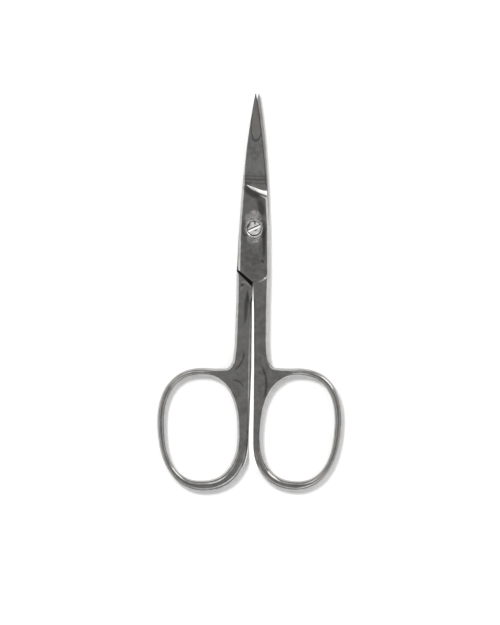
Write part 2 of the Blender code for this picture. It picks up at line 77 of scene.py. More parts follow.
camera_data = bpy.data.cameras.new("camera")
camera = bpy.data.objects.new("camera", camera_data)
bpy.context.scene.collection.objects.link(camera)
middle = seen_at(PICTURE_SIZE[0] / 2, PICTURE_SIZE[1] / 2)
camera.location = (middle.x, middle.y, PIVOT.z + CAMERA_HEIGHT)
camera.rotation_euler = (0, 0, LEAN)
camera_data.sensor_width = SENSOR / MM
camera_data.lens = SENSOR / MM * CAMERA_HEIGHT / (PICTURE_SIZE[1] * PIXEL)
camera_data.clip_start = CLIP_START
bpy.context.scene.camera = camera
print("lens, mm:", round(camera_data.lens, 1))

# %% [markdown]
# ## Helpers for materials
# Every finish here is worked out by nodes. Nodes could be linked one by one in each material, but
# a few functions that add a node, link its inputs and return its output keep the recipes short.
# Each of them works in the node tree of the outputs that it is given.

# %% Write the helpers for nodes
def link(output, socket):
    """Feeds an input socket with an output."""
    output.id_data.links.new(output, socket)


def node_beside(output, kind):
    """A new node in the same tree as an output."""
    return output.id_data.nodes.new("ShaderNode" + kind)


def fill(node, values):
    """Sets the inputs of a node by name."""
    for name, value in values.items():
        node.inputs[name].default_value = value


def is_number(term):
    return isinstance(term, (int, float))


def calculate(operation, *terms):
    """A Math node. Each term is a number or another node's output."""
    node = node_beside(next(term for term in terms if not is_number(term)), "Math")
    node.operation = operation
    for socket, term in zip(node.inputs, terms):
        if is_number(term):
            socket.default_value = term
        else:
            link(term, socket)
    return node.outputs["Value"]


def chained(operation, values):
    """One value from many, two at a time."""
    total = values[0]
    for value in values[1:]:
        total = calculate(operation, total, value)
    return total


def left_by(*shares):
    """The light that is left where the product of some shares is taken away."""
    return calculate("SUBTRACT", 1.0, chained("MULTIPLY", shares))


def raised_by(*shares):
    """The light that there is where the product of some shares is added."""
    return calculate("ADD", 1.0, chained("MULTIPLY", shares))


def noise(coordinates, scale, detail, roughness=0.5, distortion=0.0):
    node = node_beside(coordinates, "TexNoise")
    fill(node, {"Scale": scale, "Detail": detail, "Roughness": roughness, "Distortion": distortion})
    link(coordinates, node.inputs["Vector"])
    return node.outputs["Fac"]


def spread(value, low, high, new_low=0.0, new_high=1.0):
    """A Map Range node, which stretches low to high over the new range and clamps the rest."""
    node = node_beside(value, "MapRange")
    fill(node, {"From Min": low, "From Max": high, "To Min": new_low, "To Max": new_high})
    link(value, node.inputs["Value"])
    return node.outputs["Result"]


# %% Measure how far a point is from an oval's middle
# The pixel of its middle, half its width and length in mm, its turn and how uneven its rim is
Oval = namedtuple("Oval", "column row half_width half_length lean wander", defaults=(0.0, 0.0))
RIM_NOISE = (320, 2.0)


def oval_reach(coordinates, oval):
    """0 in the middle of an oval and 1 on its rim."""
    moved = node_beside(coordinates, "Mapping")
    moved.vector_type = "TEXTURE"
    middle = (*seen_at(oval.column, oval.row), 0)
    size = (oval.half_width * MM, oval.half_length * MM, 1)
    fill(moved, {"Location": middle, "Rotation": (0, 0, oval.lean), "Scale": size})
    link(coordinates, moved.inputs["Vector"])
    reach = node_beside(coordinates, "VectorMath")
    reach.operation = "LENGTH"
    link(moved.outputs["Vector"], reach.inputs[0])
    rim = calculate("SUBTRACT", noise(coordinates, *RIM_NOISE), 0.5)
    return calculate("ADD", reach.outputs["Value"], calculate("MULTIPLY", rim, oval.wander))


def mask(coordinates, oval, fade, share=1.0, outside=0.0):
    """A share inside an oval. It fades between two distances, in reaches of the rim."""
    return spread(oval_reach(coordinates, oval), *fade, share, outside)


# %% [markdown]
# ## Table
# The table is a sheet of white board that runs on far past the picture. A plane is enough: it only
# has to be plain, pale and able to take a soft shadow. A little glow, which only the camera and the
# metal see, makes it white. Under the narrow gap between the shanks the glow is full: painted light
# that takes away the shadow in the gap.

# %% Lay the white board
BOARD_SIZE = 4
BOARD_COLOUR = (0.95, 0.95, 0.95, 1)
BOARD_ROUGHNESS = 0.9
BOARD_SHINE = 0.1
BOARD_GLOW = 0.1
# Painted light: a strip of full glow under the gap between the shanks, where the board would be in
# shadow
GLOW_UNDER_GAP = Oval(253.2, 385.0, 1.3, 21.5, lean=LEAN)
GLOW_UNDER_GAP_FADE = (0.9, 1.05)

bpy.ops.object.select_all(action="DESELECT")
bpy.ops.mesh.primitive_plane_add(size=BOARD_SIZE, location=(0, 0, 0))
board = bpy.context.object
board.name = "board"
board_material = bpy.data.materials.new("white_board")
board_material.use_nodes = True
nodes = board_material.node_tree.nodes
shader = nodes["Principled BSDF"]
fill(shader, {"Base Color": BOARD_COLOUR, "Roughness": BOARD_ROUGHNESS})
fill(shader, {"Specular IOR Level": BOARD_SHINE})
glow = nodes.new("ShaderNodeEmission")
ray = nodes.new("ShaderNodeLightPath").outputs
both = nodes.new("ShaderNodeAddShader")
coordinates = nodes.new("ShaderNodeTexCoord").outputs["Object"]
seen = calculate("MAXIMUM", ray["Is Camera Ray"], ray["Is Glossy Ray"])
painted_light_under_gap = mask(coordinates, GLOW_UNDER_GAP, GLOW_UNDER_GAP_FADE, outside=BOARD_GLOW)
link(calculate("MULTIPLY", seen, painted_light_under_gap), glow.inputs["Strength"])
link(shader.outputs["BSDF"], both.inputs[0])
link(glow.outputs["Emission"], both.inputs[1])
link(both.outputs["Shader"], nodes["Material Output"].inputs["Surface"])
board.data.materials.append(board_material)

# %% [markdown]
# ## Light
# A polished blade shows the room and not its own colour, so the room matters more than the lamps.
# Overhead hangs the dark of the ceiling and the camera, lower down the walls are white. The ceiling
# could be a modelled tent; a world that grows darker towards the zenith does the same and is
# smoother. One soft lamp from the upper left gives the shadow its direction. It is kept out of the
# mirrors, where it would be a hot spot. There its dim shade, a card at the lower right and a window
# at the upper right shine instead.

# %% Paint the room
# Light of the room at a height, where 0 is the horizon and 1 is straight overhead
ROOM = [(0.0, 0.12), (0.1, 0.2), (0.26, 0.45), (0.5, 0.65)]
ROOM += [(0.77, 0.9), (0.84, 0.6), (0.89, 0.345), (1.0, 0.312)]
WALL_NOISE = (2.5, 2.0)
WALL_RANGE = (0.35, 0.65)
WALL_PATCHES = (0.8, 1.15)

world = bpy.data.worlds.new("room")
bpy.context.scene.world = world
world.use_nodes = True
nodes = world.node_tree.nodes
way = nodes.new("ShaderNodeTexCoord").outputs["Generated"]
parts = nodes.new("ShaderNodeSeparateXYZ")
ceiling = nodes.new("ShaderNodeValToRGB")
link(way, parts.inputs["Vector"])
link(parts.outputs["Z"], ceiling.inputs["Fac"])
stops = ceiling.color_ramp.elements
for height, light in ROOM[1:-1]:
    stops.new(height)
for stop, (height, light) in zip(stops, ROOM):
    stop.position = height
    stop.color = (light, light, light, 1)
patches = spread(noise(way, *WALL_NOISE), *WALL_RANGE, *WALL_PATCHES)
link(ceiling.outputs["Color"], nodes["Background"].inputs["Color"])
link(patches, nodes["Background"].inputs["Strength"])

# %% Hang the lamps
# The place, size and power of each lamp
SOFT_LAMP = ((-0.42, 0.5, 1.17), 0.35, 10.5)
LAMPSHADE = ((-0.4, 0.55, 1.12), 0.6, 0.9)
CARD = ((0.36, -0.62, 1.15), 0.6, 0.85)
WINDOW = ((0.78, 0.72, 0.68), 0.5, 3.0)
WINDOW_HEIGHT = 1.15


def hang(name, place, size, power):
    """A round area lamp that faces the scissors."""
    data = bpy.data.lights.new(name, "AREA")
    made = bpy.data.objects.new(name, data)
    bpy.context.scene.collection.objects.link(made)
    data.shape = "DISK"
    data.size = size
    data.energy = power
    made.location = place
    made.rotation_euler = (-made.location).to_track_quat("-Z", "Y").to_euler()
    return made


soft_lamp = hang("soft_lamp", *SOFT_LAMP)
soft_lamp.visible_glossy = False
for mirrored in (hang("lampshade", *LAMPSHADE), hang("card", *CARD)):
    mirrored.visible_diffuse = False
window = hang("window", *WINDOW)
window.data.shape = "RECTANGLE"
window.data.size_y = WINDOW_HEIGHT
bpy.context.scene.view_settings.view_transform = "Standard"

# %% [markdown]
# ## Plated steel
# Both halves are nickel plated and polished, then handled: the plating is a mirror with fine
# scratches and dull patches. One material with its own noise could do, but the other metals want
# the same marks at other strengths, so the marks are a node group that all of them use.

# %% Make the group of handling marks
MARK_STRENGTHS = ("Mottling", "Dull patches", "Scratches", "Waves")
# Each noise has a scale and a detail, and some have a roughness
MOTTLES = (620, 5.0, 0.7)
MOTTLE_RANGE = (0.36, 0.64)
PATCHES = (190, 2.0)
PATCH_RANGE = (0.4, 0.62)
PATCH_SHARES = (0.55, 1.15)
TINTS = (260, 3.0)
TINT_RANGE = (0.4, 0.6)
SCRATCHES = (2600, 2.0)
WAVES = (420, 1.0)

marks = bpy.data.node_groups.new("handling_marks", "ShaderNodeTree")
add_socket = marks.interface.new_socket
add_socket("Coordinates", in_out="INPUT", socket_type="NodeSocketVector")
for name in MARK_STRENGTHS:
    add_socket(name, in_out="INPUT", socket_type="NodeSocketFloat")
for name in ("Shade", "Tint", "Roughness", "Height"):
    add_socket(name, in_out="OUTPUT", socket_type="NodeSocketFloat")
given = marks.nodes.new("NodeGroupInput").outputs
result = marks.nodes.new("NodeGroupOutput").inputs
where = given["Coordinates"]

clouds = spread(noise(where, *MOTTLES), *MOTTLE_RANGE)
patches = spread(noise(where, *PATCHES), *PATCH_RANGE, *PATCH_SHARES)
scratched = calculate("MULTIPLY", noise(where, *SCRATCHES), given["Scratches"])
waved = calculate("MULTIPLY", noise(where, *WAVES), given["Waves"])
link(left_by(clouds, patches, given["Mottling"]), result["Shade"])
link(spread(noise(where, *TINTS), *TINT_RANGE), result["Tint"])
link(calculate("MULTIPLY", clouds, given["Dull patches"]), result["Roughness"])
link(calculate("ADD", scratched, waved), result["Height"])


# %% Make a metal that carries the marks
BUMP_STRENGTH = 0.1
BUMP_DISTANCE = 0.02 * MM


def metal(name, tints, roughness, strengths):
    """A metal between a cool and a warm tint. More marks can change its shade and roughness."""
    made = bpy.data.materials.new(name)
    made.use_nodes = True
    nodes = made.node_tree.nodes
    shader = nodes["Principled BSDF"]
    coordinates = nodes.new("ShaderNodeTexCoord").outputs["Object"]
    used = nodes.new("ShaderNodeGroup")
    used.node_tree = marks
    tint = nodes.new("ShaderNodeMix")
    tint.data_type = "RGBA"
    shaded = nodes.new("ShaderNodeVectorMath")
    shaded.operation = "SCALE"
    bump = nodes.new("ShaderNodeBump")
    fill(shader, {"Metallic": 1})
    fill(used, dict(zip(MARK_STRENGTHS, strengths)))
    fill(tint, {"A": (*tints[0], 1), "B": (*tints[1], 1)})
    fill(bump, {"Strength": BUMP_STRENGTH, "Distance": BUMP_DISTANCE})
    rough = calculate("ADD", used.outputs["Roughness"], roughness)
    link(coordinates, used.inputs["Coordinates"])
    link(used.outputs["Tint"], tint.inputs["Factor"])
    link(tint.outputs["Result"], shaded.inputs[0])
    link(used.outputs["Shade"], shaded.inputs["Scale"])
    link(shaded.outputs[0], shader.inputs["Base Color"])
    link(rough, shader.inputs["Roughness"])
    link(used.outputs["Height"], bump.inputs["Height"])
    link(bump.outputs["Normal"], shader.inputs["Normal"])
    return {
        "material": made,
        "coordinates": coordinates,
        "shade": used.outputs["Shade"],
        "shaded": shaded.inputs["Scale"],
        "rough": rough,
        "roughness": shader.inputs["Roughness"],
    }


# %% Make the five metals
# The cool and the warm tint, the roughness, and the strengths of the four marks
PLATED = (((0.475, 0.475, 0.47), (0.485, 0.465, 0.445)), 0.02, (0.3, 0.12, 0.5, 8.0))
GROUND = (((0.62, 0.61, 0.61), (0.6, 0.58, 0.56)), 0.38, (0.3, 0.15, 1.0, 0.0))
TURNED = (((0.9, 0.89, 0.88), (0.85, 0.83, 0.81)), 0.48, (0.3, 0.2, 1.0, 0.0))
SAWN = (((0.85, 0.85, 0.84), (0.8, 0.78, 0.76)), 0.12, (0.3, 0.1, 1.0, 0.0))
# Nearly black, on the walls of gaps, holes and the slot: old oil, and painted shade where these lie
# in shadow
OIL_AND_SHADE = (((0.035, 0.033, 0.03), (0.05, 0.045, 0.035)), 0.4, (0.4, 0.1, 0.5, 0.0))

plated = metal("plated_steel", *PLATED)
turned_metal = metal("screw_steel", *TURNED)
plating = plated["material"]
screw_steel = turned_metal["material"]
ground_steel = metal("ground_steel", *GROUND)["material"]
slot_steel = metal("slot_steel", *SAWN)["material"]
oil_and_painted_shade = metal("oil_and_painted_shade", *OIL_AND_SHADE)["material"]

# %% [markdown]
# ## Wear and painted light on the plating
# On the real joint the countersink is cut after polishing, and its tool leaves a dull ring with
# fine circular marks; the ring's lighter colour is partly bare metal, partly painted sheen.
# Polishing also leaves chatter marks above the bevel's root. The dark patches round the joint and
# the thin dark lines are painted dark reflections, the bright lines along the step are painted
# glints, and along the gap the plating is rougher and painted lighter. Each could be a face of its
# own with another metal, but their rims are soft, so they are masks in the plating: ovals that
# raise the roughness or change the shade.

# %% Dull the plating round the screw and along the gap, and paint sheen and light there
DULL_RING = Oval(253.8, 228.0, 2.3, 4.5, wander=0.6)
DULL_RING_FADE = (0.6, 1.05)
DULL_ROUGHNESS = 0.62
DULL_NOISE = (1500, 3.0)
DULL_RANGE = (0.35, 0.6, 0.6, 1.0)
# Inside the dull ring the colour is raised in speckles: partly bare metal, partly painted sheen
BARE_AND_SHEEN_NOISE = (1500, 4.0, 0.7)
BARE_AND_SHEEN_RANGE = (0.42, 0.6)
BARE_AND_SHEEN_SHARE = 0.8
# Along the gap the plating is rougher, and the same share raises its colour: painted light
BY_GAP = Oval(250.0, 391.0, 0.44, 20.3, lean=LEAN / 2)
BY_GAP_FADE = (0.85, 1.1)
BY_GAP_ROUGHNESS_AND_LIGHT = 0.5

coordinates = plated["coordinates"]
near_screw = mask(coordinates, DULL_RING, DULL_RING_FADE)
rough_and_lit_by_gap = mask(coordinates, BY_GAP, BY_GAP_FADE, BY_GAP_ROUGHNESS_AND_LIGHT)
uneven = spread(noise(coordinates, *DULL_NOISE), *DULL_RANGE)
dulled = chained("MULTIPLY", [near_screw, uneven, DULL_ROUGHNESS])
link(chained("ADD", [plated["rough"], dulled, rough_and_lit_by_gap]), plated["roughness"])
bare_and_sheen = spread(noise(coordinates, *BARE_AND_SHEEN_NOISE), *BARE_AND_SHEEN_RANGE, 0.0, BARE_AND_SHEEN_SHARE)
lighter = [raised_by(near_screw, bare_and_sheen), raised_by(rough_and_lit_by_gap)]

# %% Darken the plating with painted dark reflections
# Painted dark reflections: dark patches in the plating's colour where it mirrors dark things
UNDER_BEVEL = Oval(252.5, 193.0, 2.6, 0.95, lean=-0.6, wander=1.4)
BESIDE_SCREW = Oval(260.5, 206.5, 0.9, 2.8, lean=0.3, wander=1.4)
BELOW_SCREW = Oval(263.9, 240.0, 0.45, 4.6, lean=0.03, wander=2.2)
ON_PLATE = Oval(262.8, 261.5, 0.3, 0.55, lean=0.5, wander=0.5)
ON_STEP = Oval(242.3, 285.2, 0.45, 0.35, lean=-0.5, wander=0.8)
BELOW_STEP = Oval(247.8, 296.5, 0.28, 1.5, lean=0.15, wander=0.8)
ON_SHANK = Oval(246.0, 308.0, 0.5, 3.4, lean=-0.05, wander=1.4)
DARK_PATCH_FADE = (0.5, 1.15)
DARK_PATCH_SHADE = 0.55


def painted_dark_patches(coordinates, dark_patches, shade):
    """For each painted dark patch the share of the colour that is left."""
    return [left_by(mask(coordinates, dark_patch, DARK_PATCH_FADE, shade)) for dark_patch in dark_patches]


reflections_on_plating = (UNDER_BEVEL, BESIDE_SCREW, BELOW_SCREW, ON_PLATE, ON_STEP, BELOW_STEP, ON_SHANK)
darker = painted_dark_patches(coordinates, reflections_on_plating, DARK_PATCH_SHADE)

# %% Draw painted dark reflection lines and painted glints along the step
# Painted dark reflections: thin dark lines on the blade, the fillets and the webs
TIP_LINE = Oval(257.0, 124.5, 1.35, 3.9, lean=-0.06, wander=0.35)
LEFT_FILLET = Oval(222.0, 352.0, 4.96, 4.96, wander=0.1)
LEFT_WEB = Oval(231.0, 399.0, 3.8, 4.4, wander=0.15)
RIGHT_WEB = Oval(246.0, 384.0, 4.6, 6.6, wander=0.2)
RIGHT_FILLET = Oval(286.0, 352.0, 4.6, 4.6, wander=0.1)
# Painted glints: bright lines along two arcs at the step
STEP_ARC = Oval(243.0, 294.0, 2.03, 2.7, wander=0.1)
SIDE_ARC = Oval(247.0, 293.0, 1.53, 1.7, wander=0.1)
ON_BLADE = Oval(254.0, 132.0, 2.4, 4.2, wander=0.1)
ON_LEFT_FILLET = Oval(241.0, 363.0, 1.7, 3.0, wander=0.3)
ON_LEFT_WEB = Oval(239.0, 382.0, 1.6, 1.4, wander=0.3)
ON_RIGHT_WEB = Oval(265.0, 380.0, 1.3, 4.4, wander=0.5)
ON_RIGHT_FILLET = Oval(269.0, 367.0, 1.2, 2.0, wander=0.3)
ON_STEP_ARC = Oval(246.0, 283.0, 1.1, 0.9, wander=0.3)
ON_SIDE_ARC = Oval(241.5, 287.5, 0.7, 0.8, wander=0.3)
LINE_FADE = (0.7, 1.1)
PAINTED_LINE_SHADE = 0.62
GLINT_WIDTH = 0.09
GLINT_SHINE = 0.75


def painted_rim_line(rim, shown, width, share):
    """A painted line along an oval's rim, and the oval inside which it shows."""
    off_rim = calculate("SUBTRACT", oval_reach(coordinates, rim), 1.0)
    on_rim = spread(calculate("ABSOLUTE", off_rim), 0.0, width, share, 0.0)
    return on_rim, mask(coordinates, shown, LINE_FADE)


for rim, shown, width in (
    (TIP_LINE, ON_BLADE, 0.13),
    (LEFT_FILLET, ON_LEFT_FILLET, 0.06),
    (LEFT_WEB, ON_LEFT_WEB, 0.06),
    (RIGHT_WEB, ON_RIGHT_WEB, 0.08),
    (RIGHT_FILLET, ON_RIGHT_FILLET, 0.05),
):
    darker.append(left_by(*painted_rim_line(rim, shown, width, PAINTED_LINE_SHADE)))
for rim, shown in ((STEP_ARC, ON_STEP_ARC), (SIDE_ARC, ON_SIDE_ARC)):
    lighter.append(raised_by(*painted_rim_line(rim, shown, GLINT_WIDTH, GLINT_SHINE)))

# %% Stain the joint and the middle of the blade
JOINT_STAINS = Oval(252.0, 246.0, 3.0, 7.0, wander=0.4)
BLADE_STAINS = Oval(256.0, 161.0, 2.4, 4.2, wander=0.5)
STAIN_FADE = (0.6, 1.1)
STAIN_NOISE = (1000, 4.0, 0.7)
STAIN_RANGE = (0.4, 0.65)
STAIN_SHADE = 0.34
CONTOUR_NOISE = (300, 2.0, 0.5, 1.0)
CONTOURS = 7
CONTOUR_WIDTH = 0.14
CONTOUR_SHADE = 0.2

stains = spread(noise(coordinates, *STAIN_NOISE), *STAIN_RANGE, 0.0, STAIN_SHADE)
darker.append(left_by(mask(coordinates, JOINT_STAINS, STAIN_FADE), stains))
layers = calculate("MULTIPLY", noise(coordinates, *CONTOUR_NOISE), CONTOURS)
contour = spread(calculate("PINGPONG", layers, 0.5), 0.0, CONTOUR_WIDTH, CONTOUR_SHADE, 0.0)
darker.append(left_by(mask(coordinates, BLADE_STAINS, STAIN_FADE), contour))


# %% Draw the ripples that tools leave
FROM_SCREW = Oval(*PIVOT_PIXEL, 1.0, 1.0, wander=0.2)
SCREW_RIPPLES = {"spacing": 0.42, "start": 1.8, "end": 3.1, "shade": 0.6}
FROM_TIP = Oval(256.0, 100.0, 40.0, 1.0, wander=1.2)
TIP_RIPPLES = {"spacing": 0.8, "start": 16.6, "end": 19.4, "shade": 0.45}


def ripples(middle, spacing, start, end, shade):
    """Darker bands, so many mm apart, between two distances from the middle."""
    distance = oval_reach(coordinates, middle)
    crest = spread(calculate("PINGPONG", distance, spacing / 2), 0, spacing / 2, 0, shade)
    begun = spread(distance, start, start + spacing)
    ended = spread(distance, end - spacing, end, 1, 0)
    return left_by(crest, begun, ended)


darker += [ripples(FROM_SCREW, **SCREW_RIPPLES), ripples(FROM_TIP, **TIP_RIPPLES)]
link(chained("MULTIPLY", [plated["shade"], *darker, *lighter]), plated["shaded"])

# %% Darken the screw's head in places with painted dark reflections
# Painted dark reflections on the domed head: a notch at the top, the left side and a patch on the
# cap
UPPER_NOTCH = Oval(254.7, 222.4, 0.26, 0.62, lean=0.2, wander=0.3)
LEFT_OF_HEAD = Oval(248.2, 225.6, 0.45, 1.0, lean=-0.5, wander=0.4)
ON_CAP = Oval(255.6, 230.4, 0.42, 0.18, lean=0.4, wander=0.4)
HEAD_DARK_PATCH_SHADE = 0.8

dark_patches = (UPPER_NOTCH, LEFT_OF_HEAD, ON_CAP)
reflections_on_head = painted_dark_patches(turned_metal["coordinates"], dark_patches, HEAD_DARK_PATCH_SHADE)
link(chained("MULTIPLY", [turned_metal["shade"], *reflections_on_head]), turned_metal["shaded"])

# %% [markdown]
# ## Outlines of a half
# Each half is one forging: blade, joint, shank and finger bow. In plan its outline is a few simple
# curves, and all of them are written as functions of a distance or an angle, in the half's own
# frame: pivot at the origin, blade along +Y, outer side of the shank towards +X. Points could be
# typed in from a drawing, but functions keep the curves smooth at any number of steps.

# %% Write down the sizes that both halves share
OPENING = math.radians(1.4)
SHANK_HALF_THICKNESS = 1.5 * MM
JOINT_HALF_THICKNESS = 1.35 * MM
RIDE_Z = 0.05 * MM
CROWN = 0.06 * MM
WIRE_HALF_THICKNESS = 1.12 * MM
FORGED_HALF_THICKNESS = SHANK_HALF_THICKNESS + CROWN

BLADE_LENGTH = 30.4 * MM
JOINT_HALF_WIDTH = 3.4 * MM
SHOULDER_HALF_WIDTH = 3.55 * MM
STRAIGHT_TAPER_SHARE = 0.5
TIP_SHARPNESS = 2.5
TIP_HALF_WIDTH = 0.1 * MM
SIDE_ROUNDING = 0.74 * MM
SIDE_FULLNESS = 1.6
WIRE_ROUNDING = 1.2 * MM
WIRE_FULLNESS = 2.0
SHOULDER_POINT_Y = -12.8 * MM
SHOULDER_SIDE_Y = -9.5 * MM
SHOULDER_SLOPE = (SHOULDER_SIDE_Y - SHOULDER_POINT_Y) / SHOULDER_HALF_WIDTH

SHANK_OUTER_X = 3.45 * MM
SHANK_FLARE = 0.6 * MM
SHANK_FLARE_LENGTH = 7.0 * MM
WEB_FILLET_RADIUS = 1.5 * MM

HOLE_HALF_WIDTH = 8.13 * MM
HOLE_HALF_LENGTH = 11.8 * MM
HOLE_LEAN = math.radians(4.3)
HOLE_SQUARENESS = 2.4
BOW_LEAN = math.radians(7.3)
BOW_SQUARENESS = 2.28
BOW_OUTER_WIDTH = 1.71 * MM
BOW_TOP_WIDTH = 1.88 * MM

# %% Write down what differs between the halves
UPPER = {
    "name": "upper_half_polished",
    "node": "upper_half",
    "body": "upper",
    "bow_inner_x": 0.27 * MM,
    "bow_top_y": -31.42 * MM,
    "bow_inner_width": 2.05 * MM,
    "bow_bottom_width": 2.245 * MM,
    "shoulder_inner_x": 0.05 * MM,
    "inner_rounding": 0.4 * MM,
    "turn": (0, 0, OPENING / 2),
}
LOWER = {
    "name": "lower_half_polished",
    "node": "lower_half",
    "body": "lower",
    "bow_inner_x": -0.57 * MM,
    "bow_top_y": -31.82 * MM,
    "bow_inner_width": 2.72 * MM,
    "bow_bottom_width": 2.495 * MM,
    "shoulder_inner_x": -0.09 * MM,
    "inner_rounding": 0.72 * MM,
    "turn": (0, math.pi, -OPENING / 2),
}


# %% Write the helpers for shapes
def mix(start, end, share):
    """The value that lies a share of the way from start to end."""
    return start + share * (end - start)


def ease(share):
    """0 to 1 with a level start and end."""
    share = min(max(share, 0.0), 1.0)
    return share * share * (3 - 2 * share)


def places(start, end, step):
    """Evenly spaced places after the start, up to the end."""
    count = math.ceil((end - start) / step)
    return [start + (end - start) * (i + 1) / count for i in range(count)]


def round_point(turn):
    """On the circle of radius 1."""
    return Vector((math.cos(turn), math.sin(turn)))


# %% Draw the finger hole and the bow round it
def oval_point(centre, half_width, half_length, lean, squareness, angle):
    """A point of a squarish oval whose top leans towards +X."""
    across = math.cos(angle)
    along = math.sin(angle)
    swell = (abs(across) ** squareness + abs(along) ** squareness) ** (-1 / squareness)
    turn = Matrix.Rotation(-lean, 2)
    return centre + turn @ Vector((across * half_width, along * half_length)) * swell


def hole_centre(half):
    x = half["bow_inner_x"] + half["bow_inner_width"] + HOLE_HALF_WIDTH
    y = half["bow_top_y"] - BOW_TOP_WIDTH - HOLE_HALF_LENGTH
    return Vector((x, y))


def hole_point(half, angle):
    return oval_point(
        hole_centre(half), HOLE_HALF_WIDTH, HOLE_HALF_LENGTH, HOLE_LEAN, HOLE_SQUARENESS, angle
    )


def bow_point(half, angle):
    """The bow's outer outline: the hole's oval widened by the wire on each side."""
    across = (BOW_OUTER_WIDTH - half["bow_inner_width"]) / 2
    along = (BOW_TOP_WIDTH - half["bow_bottom_width"]) / 2
    centre = hole_centre(half) + Vector((across, along))
    half_width = HOLE_HALF_WIDTH + (BOW_OUTER_WIDTH + half["bow_inner_width"]) / 2
    half_length = HOLE_HALF_LENGTH + (BOW_TOP_WIDTH + half["bow_bottom_width"]) / 2
    return oval_point(centre, half_width, half_length, BOW_LEAN, BOW_SQUARENESS, angle)


print("upper hole's centre, mm:", [round(value / MM, 2) for value in hole_centre(UPPER)])


# %% Draw the shank and the blade
def inner_x(half, y):
    """The shank's inner side: straight from the shoulder to the bow's top, then upright."""
    share = (SHOULDER_POINT_Y - y) / (SHOULDER_POINT_Y - half["bow_top_y"])
    return mix(half["shoulder_inner_x"], half["bow_inner_x"], min(max(share, 0.0), 1.0))


def outer_x(half, y):
    """The shank's outer side, which flares where it nears the bow."""
    start = half["bow_top_y"] + SHANK_FLARE_LENGTH
    share = min(max((start - y) / SHANK_FLARE_LENGTH, 0.0), 1.0)
    return SHANK_OUTER_X + SHANK_FLARE * share * share


def blade_half_width(y):
    """Half the width of blade and joint plate at a distance along the blade."""
    if y < 0:
        return mix(JOINT_HALF_WIDTH, SHOULDER_HALF_WIDTH, y / SHOULDER_SIDE_Y)
    along = y / BLADE_LENGTH
    straight = STRAIGHT_TAPER_SHARE * along
    curved = (1 - STRAIGHT_TAPER_SHARE) * along**TIP_SHARPNESS
    return mix(TIP_HALF_WIDTH, JOINT_HALF_WIDTH, 1 - straight - curved)


# %% [markdown]
# ## Sections of a half
# Cut across anywhere, the forging shows the same kind of section: a flat on each face and two
# sides rounded as half ellipses. A bevelled slab could give that too, but its rounding would
# have to change width on every edge. Here each section is a ring of points, and the ring is
# extruded from one section to the next.

# %% Draw a section
ROUNDING_STEPS = 8
WIRE_ROUNDING_SHARE = 0.46
STRIP_ROUNDING_SHARE = 0.3


def rounding_point(share, fullness):
    """On a side's rounding: how far in and how far up, from 0, 0 to 1, 1."""
    turn = math.pi / 2 * share
    power = 2 / fullness
    return 1 - math.cos(turn) ** power, math.sin(turn) ** power


def section(outer, inner, half_thickness, roundings, strips, most, fullness=SIDE_FULLNESS):
    """Points round a section, from the outer side over the top to the inner side and back."""
    width = (inner - outer).length
    way = (inner - outer) / width
    rounded = [min(rounding, most * width) for rounding in roundings]
    flat = width - sum(rounded)
    side = [rounding_point(i / ROUNDING_STEPS, fullness) for i in range(ROUNDING_STEPS)]
    profile = [(rounded[0] * reach, rise) for reach, rise in side]
    profile += [(rounded[0] + flat * i / strips, 1.0) for i in range(strips + 1)]
    profile += [(width - rounded[1] * reach, rise) for reach, rise in reversed(side)]
    over = [(*(outer + way * reach), rise * half_thickness) for reach, rise in profile]
    under = [(x, y, -z) for x, y, z in reversed(over[1:-1])]
    return [Vector(point) for point in over + under]


# %% Place the sections round the bow
JUNCTION_START = math.radians(118)
JUNCTION_END = math.radians(157)
STRAIGHT_SIDE_END = math.radians(185)
LEVEL_TOP_START = math.radians(94)
SIDE_FLAT_END = math.radians(190)
WIRE_START = math.radians(265)
WIRE_END = math.radians(62)
BOW_TOP_START = 1.4 * WEB_FILLET_RADIUS
SOFT_CORNER = 0.3 * MM
SOFT_ENTRY = 3
BOW_STEPS = 120
JUNCTION_STRIPS = 12


def bow_outer_point(half, angle):
    """The outline outside the hole: oval, but straight down the inner side and along the top."""
    point = bow_point(half, angle)
    if angle < STRAIGHT_SIDE_END:
        return Vector((half["bow_inner_x"], point.y))
    if angle < WIRE_START:
        share = ease((angle - STRAIGHT_SIDE_END) / (WIRE_START - STRAIGHT_SIDE_END) * SOFT_ENTRY)
        soft = SOFT_CORNER * share
        past = point.x - half["bow_inner_x"]
        return Vector((half["bow_inner_x"] + (past + math.hypot(past, soft)) / 2, point.y))
    past_level = angle - 2 * math.pi - LEVEL_TOP_START
    if past_level > 0:
        share = past_level / (JUNCTION_START - LEVEL_TOP_START)
        top = half["bow_top_y"]
        ends = (bow_point(half, LEVEL_TOP_START).x, outer_x(half, top) + BOW_TOP_START)
        return point.lerp(Vector((mix(*ends, share), top)), ease(share))
    return point


def bow_section(half, angle):
    """The wire's section, thinner towards the bow's outer side."""
    past_side = ease((angle - SIDE_FLAT_END) / (WIRE_START - SIDE_FLAT_END))
    past_top = ease((angle - 2 * math.pi - WIRE_END) / (JUNCTION_START - WIRE_END))
    wire = past_side - past_top
    half_thickness = mix(FORGED_HALF_THICKNESS, WIRE_HALF_THICKNESS, wire)
    inner_rounding = mix(SIDE_ROUNDING, WIRE_ROUNDING, wire)
    outer_rounding = inner_rounding + (1 - past_side) * (half["inner_rounding"] - SIDE_ROUNDING)
    ends = (bow_outer_point(half, angle), hole_point(half, angle))
    roundings = (outer_rounding, inner_rounding)
    fullness = mix(SIDE_FULLNESS, WIRE_FULLNESS, wire)
    return section(*ends, half_thickness, roundings, 1, WIRE_ROUNDING_SHARE, fullness)


print("points round the wire:", len(bow_section(UPPER, WIRE_START)))


